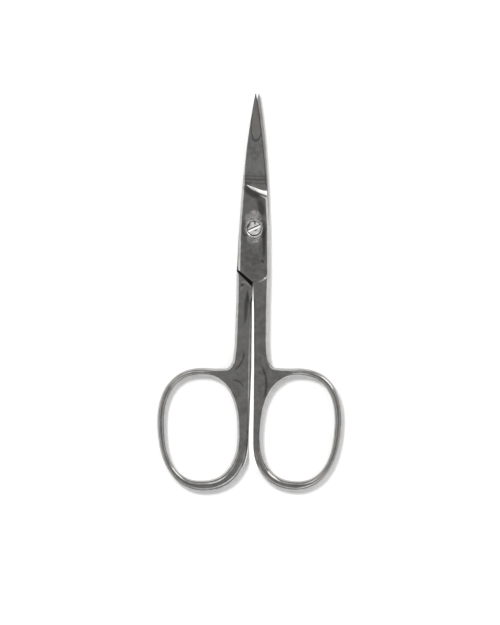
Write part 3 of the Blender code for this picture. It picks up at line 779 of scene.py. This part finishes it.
# %% [markdown]
# ## Forging a half
# The ring of points starts where the bow leaves the shank, runs round the finger hole and comes
# back to the junction. The hole's side is then closed with an extrusion of half a ring, which
# leaves a mouth, and the mouth is extruded up the shank and out to the tip.

# %% Extrude a ring through sections
MERGE_DISTANCE = 0.0002 * MM


def extrude_through(mesh, ring, sections):
    """Extrudes the selected edges to each section and sets the copied corners on its points."""
    for points in sections:
        bpy.ops.mesh.extrude_edges_indiv()
        shape = bmesh.from_edit_mesh(mesh)
        shape.verts.index_update()
        shape.verts.ensure_lookup_table()
        copies = []
        for index, point in zip(ring, points):
            old = shape.verts[index]
            others = [edge.other_vert(old) for edge in old.link_edges]
            copy = next(other for other in others if other.select)
            copy.co = point
            copies.append(copy.index)
        ring = copies
    return ring


def select_edges(mesh, ring, closed):
    """Selects the edges between neighbours in a ring, or along an open row."""
    bpy.ops.mesh.select_all(action="DESELECT")
    shape = bmesh.from_edit_mesh(mesh)
    shape.verts.ensure_lookup_table()
    pairs = list(zip(ring, ring[1:]))
    if closed:
        pairs.append((ring[-1], ring[0]))
    for one, other in pairs:
        shape.edges.get((shape.verts[one], shape.verts[other])).select_set(True)
    bmesh.update_edit_mesh(mesh)


def start_ring(points, inside="NOTHING"):
    """A new object with one ring of points, whose edges are selected in edit mode."""
    bpy.ops.object.select_all(action="DESELECT")
    bpy.ops.mesh.primitive_circle_add(vertices=len(points), radius=MM, fill_type=inside)
    made = bpy.context.object
    for vertex, point in zip(made.data.vertices, points):
        vertex.co = point
    bpy.ops.object.mode_set(mode="EDIT")
    bpy.ops.mesh.select_mode(type="EDGE")
    ring = list(range(len(points)))
    select_edges(made.data, ring, closed=True)
    return made, ring


def close_end():
    """Closes the last ring with a face and turns all faces outwards."""
    bpy.ops.mesh.edge_face_add()
    bpy.ops.mesh.select_all(action="SELECT")
    bpy.ops.mesh.normals_make_consistent(inside=False)
    bpy.ops.object.mode_set(mode="OBJECT")


# %% Forge the bow
FLAT_CORNER = ROUNDING_STEPS
UNDER_CORNER = 2 * (2 * ROUNDING_STEPS + 1) - FLAT_CORNER


def web_line(half, share):
    """A section inside the junction: its flat starts on a line between the junction's ends."""
    points = bow_section(half, mix(JUNCTION_START, JUNCTION_END, share))
    first = bow_section(half, JUNCTION_START + 2 * math.pi)
    last = bow_section(half, JUNCTION_END)
    for corner in (FLAT_CORNER, UNDER_CORNER):
        points[corner] = first[corner].lerp(last[corner], share)
    return points[FLAT_CORNER : UNDER_CORNER + 1]


def forge_bow(half):
    """The wire round the finger hole, and the hole's side of the junction."""
    made, ring = start_ring(bow_section(half, JUNCTION_END))
    made.name = half["name"]
    around = 2 * math.pi + JUNCTION_START - JUNCTION_END
    angles = [JUNCTION_END + around * i / BOW_STEPS for i in range(1, BOW_STEPS + 1)]
    ring = extrude_through(made.data, ring, [bow_section(half, angle) for angle in angles])
    row = ring[FLAT_CORNER : UNDER_CORNER + 1]
    select_edges(made.data, row, closed=False)
    shares = [i / JUNCTION_STRIPS for i in range(1, JUNCTION_STRIPS + 1)]
    extrude_through(made.data, row, [web_line(half, share) for share in shares])
    bpy.ops.mesh.select_all(action="SELECT")
    bpy.ops.mesh.remove_doubles(threshold=MERGE_DISTANCE)
    bpy.ops.object.mode_set(mode="OBJECT")
    return made


# %% Find the mouth between the bow and the shank
def mouth_points(half):
    """The open edge of the junction, in the order of a section's points."""
    first = bow_section(half, JUNCTION_START + 2 * math.pi)
    last = bow_section(half, JUNCTION_END)
    shares = [i / JUNCTION_STRIPS for i in range(1, JUNCTION_STRIPS)]
    over = [web_line(half, share)[0] for share in shares]
    back = [web_line(half, share)[-1] for share in reversed(shares)]
    outer = first[: FLAT_CORNER + 1] + over + last[FLAT_CORNER::-1]
    return outer + last[: UNDER_CORNER - 1 : -1] + back + first[UNDER_CORNER:]


def vertices_at(mesh, points):
    """The numbers of the mesh's vertices that lie at some points."""
    shape = bmesh.from_edit_mesh(mesh)
    shape.verts.index_update()
    border = [vertex for vertex in shape.verts if vertex.is_boundary]
    found = []
    for point in points:
        nearest = min(border, key=lambda vertex: (vertex.co - point).length)
        found.append(nearest.index)
    return found


# %% Lay out the sections of the shank and the blade
FAN_LENGTH = 8 * MM
FAN_STEP = 0.25 * MM
SHANK_STEP = 0.5 * MM
SPREAD_STEP = 0.35 * MM
BLADE_STEP = 0.5 * MM
TIP_STEP = 0.2 * MM
TIP_LENGTH = 4 * MM
SPREAD_START = -1.2
SPREAD_END = 0.9
PLATE_START = 0.9
PLATE_DROP_LENGTH = 1.0 * MM
SPINE_TAPER_START = 7 * MM
SPINE_TAPER_LENGTH = 9 * MM
SPINE_TIP_ROUNDING = 0.3 * MM


def side_point(half, reach):
    """On the half's outer side, this far along it from the bow's top: level, fillet, shank."""
    top = half["bow_top_y"]
    corner_x = outer_x(half, top)
    level = BOW_TOP_START - WEB_FILLET_RADIUS
    if reach < level:
        return Vector((corner_x + BOW_TOP_START - reach, top))
    turn = (reach - level) / WEB_FILLET_RADIUS
    if turn < math.pi / 2:
        x = corner_x + WEB_FILLET_RADIUS * (1 - math.sin(turn))
        return Vector((x, top + WEB_FILLET_RADIUS * (1 - math.cos(turn))))
    y = top + WEB_FILLET_RADIUS + reach - level - WEB_FILLET_RADIUS * math.pi / 2
    return Vector((outer_x(half, y), y))


def shoulder_y(share):
    """A place along the shoulder, in heights of its V above its point."""
    return mix(SHOULDER_POINT_Y, SHOULDER_SIDE_Y, share)


def strip_section(outer, inner, inner_rounding, half_thickness=FORGED_HALF_THICKNESS):
    roundings = (SIDE_ROUNDING, inner_rounding)
    return section(outer, inner, half_thickness, roundings, JUNCTION_STRIPS, STRIP_ROUNDING_SHARE)


def square_section(y, x_out, x_in, *sizes):
    """A section square across the half."""
    return strip_section(Vector((x_out, y)), Vector((x_in, y)), *sizes)


def fan_sections(half):
    """Over the junction the sections swing round until they lie square across the shank."""
    start_y = bow_point(half, JUNCTION_END).y
    end_y = side_point(half, FAN_LENGTH).y
    made = []
    for reach in places(0, FAN_LENGTH, FAN_STEP):
        y = start_y + (end_y - start_y) * reach / FAN_LENGTH
        inner = Vector((inner_x(half, y), y))
        made.append(strip_section(side_point(half, reach), inner, half["inner_rounding"]))
    return made


def shank_sections(half):
    along = places(side_point(half, FAN_LENGTH).y, shoulder_y(SPREAD_START), SHANK_STEP)
    rounding = half["inner_rounding"]
    return [square_section(y, outer_x(half, y), inner_x(half, y), rounding) for y in along]


def spread_sections(half):
    """From the shank out to the full width of the joint plate."""
    start = shoulder_y(SPREAD_START)
    end = shoulder_y(SPREAD_END)
    made = []
    for y in places(start, end, SPREAD_STEP):
        share = ease((y - start) / (end - start))
        x_in = mix(inner_x(half, y), -blade_half_width(y), share)
        x_out = mix(SHANK_OUTER_X, blade_half_width(y), share)
        rounding = mix(half["inner_rounding"], SIDE_ROUNDING, share)
        made.append(square_section(y, x_out, x_in, rounding))
    return made


def blade_sections():
    """Along the joint plate and the blade, closer together near the tip."""
    low = JOINT_HALF_THICKNESS + CROWN
    drop_y = shoulder_y(PLATE_START)
    tip_y = BLADE_LENGTH - TIP_LENGTH
    along = places(shoulder_y(SPREAD_END), tip_y, BLADE_STEP)
    along += places(tip_y, BLADE_LENGTH, TIP_STEP)
    made = []
    for y in along:
        wide = blade_half_width(y)
        thick = mix(FORGED_HALF_THICKNESS, low, ease((y - drop_y) / PLATE_DROP_LENGTH))
        thinner = ease((y - SPINE_TAPER_START) / SPINE_TAPER_LENGTH)
        rounding = mix(SIDE_ROUNDING, SPINE_TIP_ROUNDING, thinner)
        made.append(square_section(y, wide, -wide, rounding, thick))
    return made


# %% Forge a whole half
def forge(half):
    made = forge_bow(half)
    bpy.ops.object.mode_set(mode="EDIT")
    ring = vertices_at(made.data, mouth_points(half))
    select_edges(made.data, ring, closed=True)
    sections = fan_sections(half) + shank_sections(half) + spread_sections(half)
    extrude_through(made.data, ring, sections + blade_sections())
    close_end()
    print(half["name"], "forged with", len(made.data.polygons), "faces")
    return made


# %% [markdown]
# ## Grinding a half
# The wheels and the drills are solids that are taken away with the Boolean modifier, one after the
# other in the order of the real work. Cutting the faces by hand in edit mode could give the flats,
# but not the long hollow or the round end of the bevel, where the cutter's own shape is the point.
# The countersink and its worn rim lie a little off the screw's axis, as on the real joint.

# %% Make a cutter and use it
FAR = 60 * MM


def sweep(rings):
    """A solid that runs through rings of points, all with as many points as the first."""
    made, ring = start_ring(rings[0], inside="NGON")
    extrude_through(made.data, ring, rings[1:])
    close_end()
    return made


def prism(corners, way):
    """A flat face with these corners, extruded along a vector."""
    start = [Vector(corner) for corner in corners]
    return sweep([start, [corner + Vector(way) for corner in start]])


def slab(outline, low, high):
    """A prism that stands on its outline in plan."""
    return prism([(x, y, low) for x, y in outline], (0, 0, high - low))


def choose(made):
    """Makes an object the only one that the next operators work on."""
    bpy.ops.object.select_all(action="DESELECT")
    made.select_set(True)
    bpy.context.view_layer.objects.active = made


def apply_modifier(made, modifier):
    choose(made)
    bpy.ops.object.modifier_apply(modifier=modifier.name)


def take_away(made, cutter, finish):
    """Cuts a shape away. The new faces get the finish that the tool leaves."""
    cutter.data.materials.append(finish)
    taken = made.modifiers.new("taken", "BOOLEAN")
    taken.operation = "DIFFERENCE"
    taken.solver = "EXACT"
    taken.material_mode = "TRANSFER"
    taken.object = cutter
    apply_modifier(made, taken)
    bpy.data.objects.remove(cutter, do_unlink=True)


# %% Grind the faces of the shank and the joint
PLATE_CORNER_Y = -12.27 * MM
PLATE_EDGE_SLOPE = 0.82
PLATE_CORNER_CLEARANCE = 0.03 * MM
WHOLE = ((-2 * FAR, -2 * FAR), (2 * FAR, -2 * FAR), (2 * FAR, 2 * FAR), (-2 * FAR, 2 * FAR))
ABOVE_SHOULDER = (
    (0, SHOULDER_POINT_Y),
    (FAR, SHOULDER_POINT_Y + FAR * SHOULDER_SLOPE),
    (FAR, 2 * FAR),
    (-FAR, 2 * FAR),
    (-FAR, SHOULDER_POINT_Y),
)


def plate_corner_outline(half):
    """All below the plate's slanting edge, which clears the other half's shoulder."""
    end_y = shoulder_y(SPREAD_START)
    corner_x = half["shoulder_inner_x"]
    return (
        (corner_x, PLATE_CORNER_Y),
        (corner_x - FAR, PLATE_CORNER_Y + FAR * PLATE_EDGE_SLOPE),
        (corner_x - FAR, end_y),
        (inner_x(half, end_y) - PLATE_CORNER_CLEARANCE, end_y),
    )


# %% Shape the wheel that lowers the joint
STEP_CENTRE = Vector((0.75, -9.6)) * MM
STEP_RADIUS = 2.3 * MM
STEP_START = math.radians(-95)
STEP_END = math.radians(-35)
STEP_STEPS = 14
STEP_WALL_START = 0.16 * MM
STEP_WALL_END = 0.42 * MM
STEP_SIDE = 4.5 * MM
ABOVE_STEP = 2


def step_ring(height):
    """The wheel's outline, this many step heights above the joint's face."""
    points = []
    for i in range(STEP_STEPS + 1):
        share = i / STEP_STEPS
        reach = STEP_RADIUS + height * mix(STEP_WALL_START, STEP_WALL_END, share)
        points.append(STEP_CENTRE + reach * round_point(mix(STEP_START, STEP_END, share)))
    leave = Vector((-math.sin(STEP_END), math.cos(STEP_END)))
    points.append(points[-1] + leave * (STEP_SIDE - points[-1].x) / leave.x)
    corners = [(STEP_SIDE, 2 * FAR), (-STEP_SIDE, 2 * FAR), (-STEP_SIDE, points[0].y)]
    z = mix(JOINT_HALF_THICKNESS, SHANK_HALF_THICKNESS, height)
    return [Vector((*point, z)) for point in points + corners]


# %% Grind the faces one by one
GROOVE_WIDTH = 0.9 * MM
GROOVE_DEPTH = 0.15 * MM
GROOVE_OVERRUN = 1.0 * MM


def groove():
    """A relief groove in the sliding face along the foot of the shoulder. Its faces are painted
    nearly black, as old oil and painted shade.
    """
    left = SHOULDER_POINT_Y - GROOVE_OVERRUN * SHOULDER_SLOPE
    right = SHOULDER_POINT_Y + STEP_SIDE * SHOULDER_SLOPE
    foot = [(-GROOVE_OVERRUN, left), (STEP_SIDE, right)]
    outline = foot + [(x, y + GROOVE_WIDTH) for x, y in reversed(foot)]
    return slab(outline, -FAR, RIDE_Z + GROOVE_DEPTH)


def grind_faces(made, half):
    take_away(made, slab(WHOLE, SHANK_HALF_THICKNESS, FAR), plating)
    take_away(made, slab(WHOLE, -FAR, -SHANK_HALF_THICKNESS), plating)
    take_away(made, sweep([step_ring(0), step_ring(ABOVE_STEP)]), plating)
    take_away(made, slab(ABOVE_SHOULDER, -FAR, RIDE_Z), ground_steel)
    # The wall of the plate's slanting edge is painted nearly black: old oil and painted shade
    take_away(made, slab(plate_corner_outline(half), -FAR, FAR), oil_and_painted_shade)


# %% Round the corner of the shoulder and slope its edge
CORNER_RADIUS = 1.0 * MM
CORNER_DROP = 0.36 * MM
CORNER_STEPS = 16
SLOPE_DEPTH = 0.22 * MM
SLOPE_RISE = 0.08 * MM
SLOPE_FADE = Vector((-0.4, -3.5)) * MM
ARCH_CENTRE = Vector((1.95, -14.4)) * MM
ARCH_RADIUS = 1.3 * MM
SHOULDER_ANGLE = math.atan(SHOULDER_SLOPE)


def round_outline(centre, radius, slope, height):
    """From far out on a slanting line, round a corner, down past it and back outside."""
    points = []
    for i in range(CORNER_STEPS + 1):
        turn = math.pi / 2 + slope + (math.pi / 2 - slope) * i / CORNER_STEPS
        points.append(centre + radius * round_point(turn))
    side = Vector((STEP_SIDE, points[0].y + (STEP_SIDE - points[0].x) * math.tan(slope)))
    faded = points[-1] + SLOPE_FADE
    outside = [(-STEP_SIDE, faded.y), (-STEP_SIDE, 0), (STEP_SIDE, 0)]
    return [Vector((*point, height)) for point in [side, *points, faded, *outside]]


def corner_ring(half, height):
    """Outside a line along the shoulder, round its corner and down the inner side."""
    x = half["shoulder_inner_x"] + CORNER_RADIUS
    lift = SHOULDER_SLOPE * x - CORNER_RADIUS / math.cos(SHOULDER_ANGLE)
    centre = Vector((x, SHOULDER_POINT_Y - CORNER_DROP + lift))
    return round_outline(centre, CORNER_RADIUS, SHOULDER_ANGLE, height)


def round_corner(made, half):
    """The shoulder's corner beside the other half, and the slope along its edge."""
    corner = [corner_ring(half, -FAR), corner_ring(half, RIDE_Z)]
    # The wall of the rounded corner is painted nearly black: old oil and painted shade
    take_away(made, sweep(corner), oil_and_painted_shade)
    edge = corner_ring(half, -SHANK_HALF_THICKNESS + SLOPE_DEPTH)
    arch = round_outline(ARCH_CENTRE, ARCH_RADIUS, 0.0, -SHANK_HALF_THICKNESS)
    above = [a.lerp(b, 1 + SLOPE_RISE / SLOPE_DEPTH) for a, b in zip(edge, arch)]
    take_away(made, sweep([above, edge]), plating)


# %% Shape the wheel that grinds the bevel
EDGE_THICKNESS = 0.22 * MM
BEVEL_ANGLE = math.radians(12.5)
BEVEL_END_Y = 8.8 * MM
BEVEL_WHEEL_RADIUS = 3.0 * MM
BEVEL_SKEW = math.radians(20.0)
BEVEL_SIGHT_SHARE = 0.8
WHEEL_STEPS = 32


def bevel_frame():
    """Stands on the cutting edge where the wheel leaves it, with Y along the wheel's path."""
    root = Vector((blade_half_width(BEVEL_END_Y), BEVEL_END_Y, 0))
    near_tip = BEVEL_SIGHT_SHARE * BLADE_LENGTH
    edge = (Vector((blade_half_width(near_tip), near_tip, 0)) - root).normalized()
    to_spine = Vector((0, 0, 1)).cross(edge)
    rise = to_spine * math.cos(BEVEL_ANGLE) + Vector((0, 0, math.sin(BEVEL_ANGLE)))
    normal = edge.cross(rise).normalized()
    if normal.z < 0:
        normal.negate()
    path = Vector((math.sin(BEVEL_SKEW), math.cos(BEVEL_SKEW), 0))
    path = (path - normal * path.dot(normal)).normalized()
    turn = Matrix((path.cross(normal), path, normal)).transposed().to_4x4()
    turn.translation = root + Vector((0, 0, RIDE_Z + EDGE_THICKNESS))
    return turn


def bevel_wheel():
    """The space that the wheel takes over the blade: a plane with a round end."""
    radius = BEVEL_WHEEL_RADIUS
    profile = [(FAR, 0.0), (FAR, radius * 2), (-radius, radius * 2)]
    for i in range(WHEEL_STEPS + 1):
        turn = math.pi / 2 * (1 - i / WHEEL_STEPS)
        profile.append((-radius * math.sin(turn), radius - radius * math.cos(turn)))
    made = prism([(-FAR, along, up) for along, up in profile], (2 * FAR, 0, 0))
    made.data.transform(bevel_frame())
    return made


# %% Shape the stone that hones the edge
HONE_HEIGHT = 0.2 * MM
HONE_SLOPE = math.radians(43)
HONE_REACH = 0.6 * MM
HONE_FULL_WIDTH = 1.2 * MM
HONE_STEP = 0.5 * MM


def honing_stone():
    """Follows the cutting edge with a steep narrow face, which gets finer towards the tip."""
    rings = []
    start = BEVEL_END_Y + HONE_REACH
    for y in [start, *places(start, BLADE_LENGTH + HONE_REACH, HONE_STEP)]:
        wide = blade_half_width(min(y, BLADE_LENGTH))
        size = min(wide / HONE_FULL_WIDTH, 1)
        foot = RIDE_Z + EDGE_THICKNESS - HONE_HEIGHT * size
        reach = HONE_REACH * size
        rise = reach * math.tan(HONE_SLOPE)
        corners = [(wide + reach, foot - rise), (wide + reach, foot + rise)]
        corners.append((wide - reach, foot + rise))
        rings.append([Vector((x, y, z)) for x, z in corners])
    return sweep(rings)


# %% Shape the wheel that hollows the back
HOLLOW_START_Y = 6.5 * MM
HOLLOW_END_Y = 29.2 * MM
HOLLOW_DEPTH = 0.1 * MM
HOLLOW_STEPS = 24


def hollow_wheel():
    """A shallow arch under the blade, so that only edge and joint touch."""
    points = [(HOLLOW_END_Y, -FAR), (HOLLOW_START_Y, -FAR)]
    for i in range(HOLLOW_STEPS + 1):
        share = i / HOLLOW_STEPS
        y = mix(HOLLOW_START_Y, HOLLOW_END_Y, share)
        points.append((y, RIDE_Z + HOLLOW_DEPTH * 4 * share * (1 - share)))
    return prism([(-FAR, y, z) for y, z in points], (2 * FAR, 0, 0))


# %% Shape the drill
ROUND_STEPS = 96
ON_AXIS = Vector((0, 0))
SCREW_HEAD_RADIUS = 1.55 * MM
SCREW_SHOULDER_RADIUS = 1.1 * MM
SCREW_THREAD_RADIUS = 0.95 * MM
SCREW_HEAD_RIM = 0.2 * MM
SCREW_DOME_HEIGHT = 0.22 * MM
SCREW_CLEARANCE = 0.05 * MM
HEAD_CLEARANCE = 0.13 * MM
SCREW_FIT = 0.02 * MM
RIM_SLOPE = math.radians(24)
RIM_SLOPE_WIDTH = 0.22 * MM
HEAD_SEAT_Z = SHANK_HALF_THICKNESS - SCREW_DOME_HEIGHT - SCREW_HEAD_RIM


def turned(profile, centre=ON_AXIS):
    """A round solid that runs from step to step, each a radius and a height."""
    around = [round_point(2 * math.pi * i / ROUND_STEPS) for i in range(ROUND_STEPS)]
    rings = []
    for radius, z in profile:
        rings.append([Vector((*(centre + radius * point), z)) for point in around])
    return sweep(rings)


# %% Drill a half
HEAD_HOLE_CENTRE = Vector((0.02, -0.09)) * MM
RIM_SLOPE_CENTRE = Vector((0.06, -0.2)) * MM
RIM_SLOPE_INSET = 0.13 * MM
HEAD_HOLE_RADIUS = SCREW_HEAD_RADIUS + HEAD_CLEARANCE
PILOT_SHARE = 0.85


def head_hole():
    """The countersink for the screw's head, which isn't quite in the middle."""
    seat = HEAD_SEAT_Z - SCREW_CLEARANCE
    pilot = SCREW_SHOULDER_RADIUS * PILOT_SHARE
    low = seat - (HEAD_HOLE_RADIUS - pilot)
    steps = [(pilot, -RIDE_Z), (pilot, low), (HEAD_HOLE_RADIUS, seat), (HEAD_HOLE_RADIUS, FAR)]
    return turned(steps, HEAD_HOLE_CENTRE)


def rim_slope():
    """The slope that breaks the countersink's rim."""
    rise = RIM_SLOPE_WIDTH * math.tan(RIM_SLOPE)
    start = JOINT_HALF_THICKNESS - rise
    narrow = HEAD_HOLE_RADIUS - RIM_SLOPE_INSET
    wide = narrow + 2 * RIM_SLOPE_WIDTH
    return turned([(narrow, start), (wide, start + 2 * rise), (wide, FAR)], RIM_SLOPE_CENTRE)


def bore(radius):
    return turned([(radius, -FAR), (radius, FAR)])


def drill(made, half):
    if half["body"] == "lower":
        take_away(made, bore(SCREW_THREAD_RADIUS + SCREW_FIT), plating)
        return
    # The walls of the bore and the countersink are painted nearly black: old oil and painted shade
    take_away(made, bore(SCREW_SHOULDER_RADIUS + SCREW_CLEARANCE), oil_and_painted_shade)
    take_away(made, head_hole(), oil_and_painted_shade)
    take_away(made, rim_slope(), slot_steel)


# %% Clear the slivers that the cuts leave
SLIVER = 0.001 * MM


def clear_slivers(made):
    """Joins corners that almost touch and dissolves the faces without area between them."""
    choose(made)
    bpy.ops.object.mode_set(mode="EDIT")
    bpy.ops.mesh.select_all(action="SELECT")
    bpy.ops.mesh.remove_doubles(threshold=SLIVER)
    bpy.ops.mesh.dissolve_degenerate(threshold=SLIVER)
    bpy.ops.object.mode_set(mode="OBJECT")


# %% Finish both halves and put them in place
FLAT_ANGLE = math.radians(20)
SHADING_WEIGHT = 100


def shade(made):
    """Smooth the roundings, keep the ground edges crisp and the ground flats flat."""
    choose(made)
    bpy.ops.object.shade_smooth_by_angle(angle=FLAT_ANGLE)
    weighted = made.modifiers.new("weighted", "WEIGHTED_NORMAL")
    weighted.weight = SHADING_WEIGHT
    weighted.keep_sharp = True
    apply_modifier(made, weighted)


def put_in_place(made, turn):
    made.rotation_euler = turn
    made.location = PIVOT
    choose(made)
    bpy.ops.object.transform_apply(location=True, rotation=True, scale=True)


def finish_half(half):
    made = forge(half)
    made.data.materials.append(plating)
    grind_faces(made, half)
    take_away(made, groove(), oil_and_painted_shade)
    round_corner(made, half)
    take_away(made, bevel_wheel(), plating)
    take_away(made, honing_stone(), plating)
    take_away(made, hollow_wheel(), ground_steel)
    drill(made, half)
    clear_slivers(made)
    shade(made)
    put_in_place(made, half["turn"])
    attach(made, half["body"])
    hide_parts(half["node"])
    print(half["name"], "has", len(made.data.polygons), "faces")


for half in (UPPER, LOWER):
    finish_half(half)

# %% [markdown]
# ## Pivot screw
# The screw holds the halves together: a domed head with a slot, a smooth shoulder that the upper
# half turns on and a threaded end. It is turned like the real one, from step to step. The slot
# is sawn with a block that leans to one side, a slit in its floor is painted nearly black as old
# oil and painted shade, and all edges are broken with a bevel. A slot drawn in the material alone
# would catch no light on its walls.

# %% Turn the screw
DOME_STEPS = 10
DOME_TOP_SHARE = 0.02
RIM_ROUNDING = 0.18 * MM
RIM_STEPS = 5

rim_z = HEAD_SEAT_Z + SCREW_HEAD_RIM
steps = [
    (SCREW_THREAD_RADIUS, -JOINT_HALF_THICKNESS),
    (SCREW_THREAD_RADIUS, -RIDE_Z),
    (SCREW_SHOULDER_RADIUS, -RIDE_Z),
    (SCREW_SHOULDER_RADIUS, HEAD_SEAT_Z - (SCREW_HEAD_RADIUS - SCREW_SHOULDER_RADIUS)),
    (SCREW_HEAD_RADIUS, HEAD_SEAT_Z),
]
for i in range(RIM_STEPS + 1):
    turn = math.pi / 2 * i / RIM_STEPS
    in_by = RIM_ROUNDING * (1 - math.cos(turn))
    steps.append((SCREW_HEAD_RADIUS - in_by, rim_z - RIM_ROUNDING * (1 - math.sin(turn))))
dome_radius = SCREW_HEAD_RADIUS - RIM_ROUNDING
for i in range(1, DOME_STEPS + 1):
    share = i / DOME_STEPS * (1 - DOME_TOP_SHARE)
    rise = SCREW_DOME_HEIGHT * (1 - (1 - share) ** 2)
    steps.append((dome_radius * (1 - share), rim_z + rise))
screw = turned(steps)
screw.name = "pivot_screw_polished"
screw.data.materials.append(screw_steel)

# %% Saw the slot
SLOT_WIDTH = 0.58 * MM
SLOT_DEPTH = 0.42 * MM
SLOT_FLOOR_WIDTH = 0.2 * MM
SLIT_DEPTH = 0.12 * MM
SLOT_SLOPE = math.radians(20)
SLOT_ANGLE = math.radians(26.5)
BROKEN_EDGE = 0.03 * MM
BROKEN_STEPS = 2
BROKEN_FROM_ANGLE = math.radians(35)


def along_slot(corners):
    """A prism as long as the slot, turned to the slot's direction."""
    long = 2 * SCREW_HEAD_RADIUS
    made = prism([(-long, across, up) for across, up in corners], (2 * long, 0, 0))
    made.data.transform(Matrix.Rotation(SLOT_ANGLE, 4, "Z"))
    return made


def saw_blade():
    """A block with one leaning side, as the burr leaves it."""
    half_width = SLOT_WIDTH / 2
    bottom = SHANK_HALF_THICKNESS - SLOT_DEPTH
    corners = [(-half_width, FAR), (half_width, FAR), (half_width, bottom)]
    corners.append((half_width - SLOT_FLOOR_WIDTH, bottom))
    leaning = SLOT_WIDTH - SLOT_FLOOR_WIDTH
    corners.append((-half_width, bottom + leaning * math.tan(SLOT_SLOPE)))
    return along_slot(corners)


def oil_and_shade_slit():
    """The slit in the bottom of the slot, painted nearly black as old oil and painted shade."""
    side = SLOT_WIDTH / 2
    bottom = SHANK_HALF_THICKNESS - SLOT_DEPTH
    low = bottom - SLIT_DEPTH
    high = bottom + MERGE_DISTANCE
    inner = side - SLOT_FLOOR_WIDTH
    return along_slot([(inner, low), (side, low), (side, high), (inner, high)])


take_away(screw, saw_blade(), slot_steel)
take_away(screw, oil_and_shade_slit(), oil_and_painted_shade)
broken = screw.modifiers.new("broken", "BEVEL")
broken.width = BROKEN_EDGE
broken.segments = BROKEN_STEPS
broken.limit_method = "ANGLE"
broken.angle_limit = BROKEN_FROM_ANGLE
apply_modifier(screw, broken)
clear_slivers(screw)
shade(screw)
put_in_place(screw, (0, 0, 0))
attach(screw, "lower")
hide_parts("pivot_screw")
print("screw has", len(screw.data.polygons), "faces")

# %% Finish
bpy.ops.object.select_all(action="DESELECT")
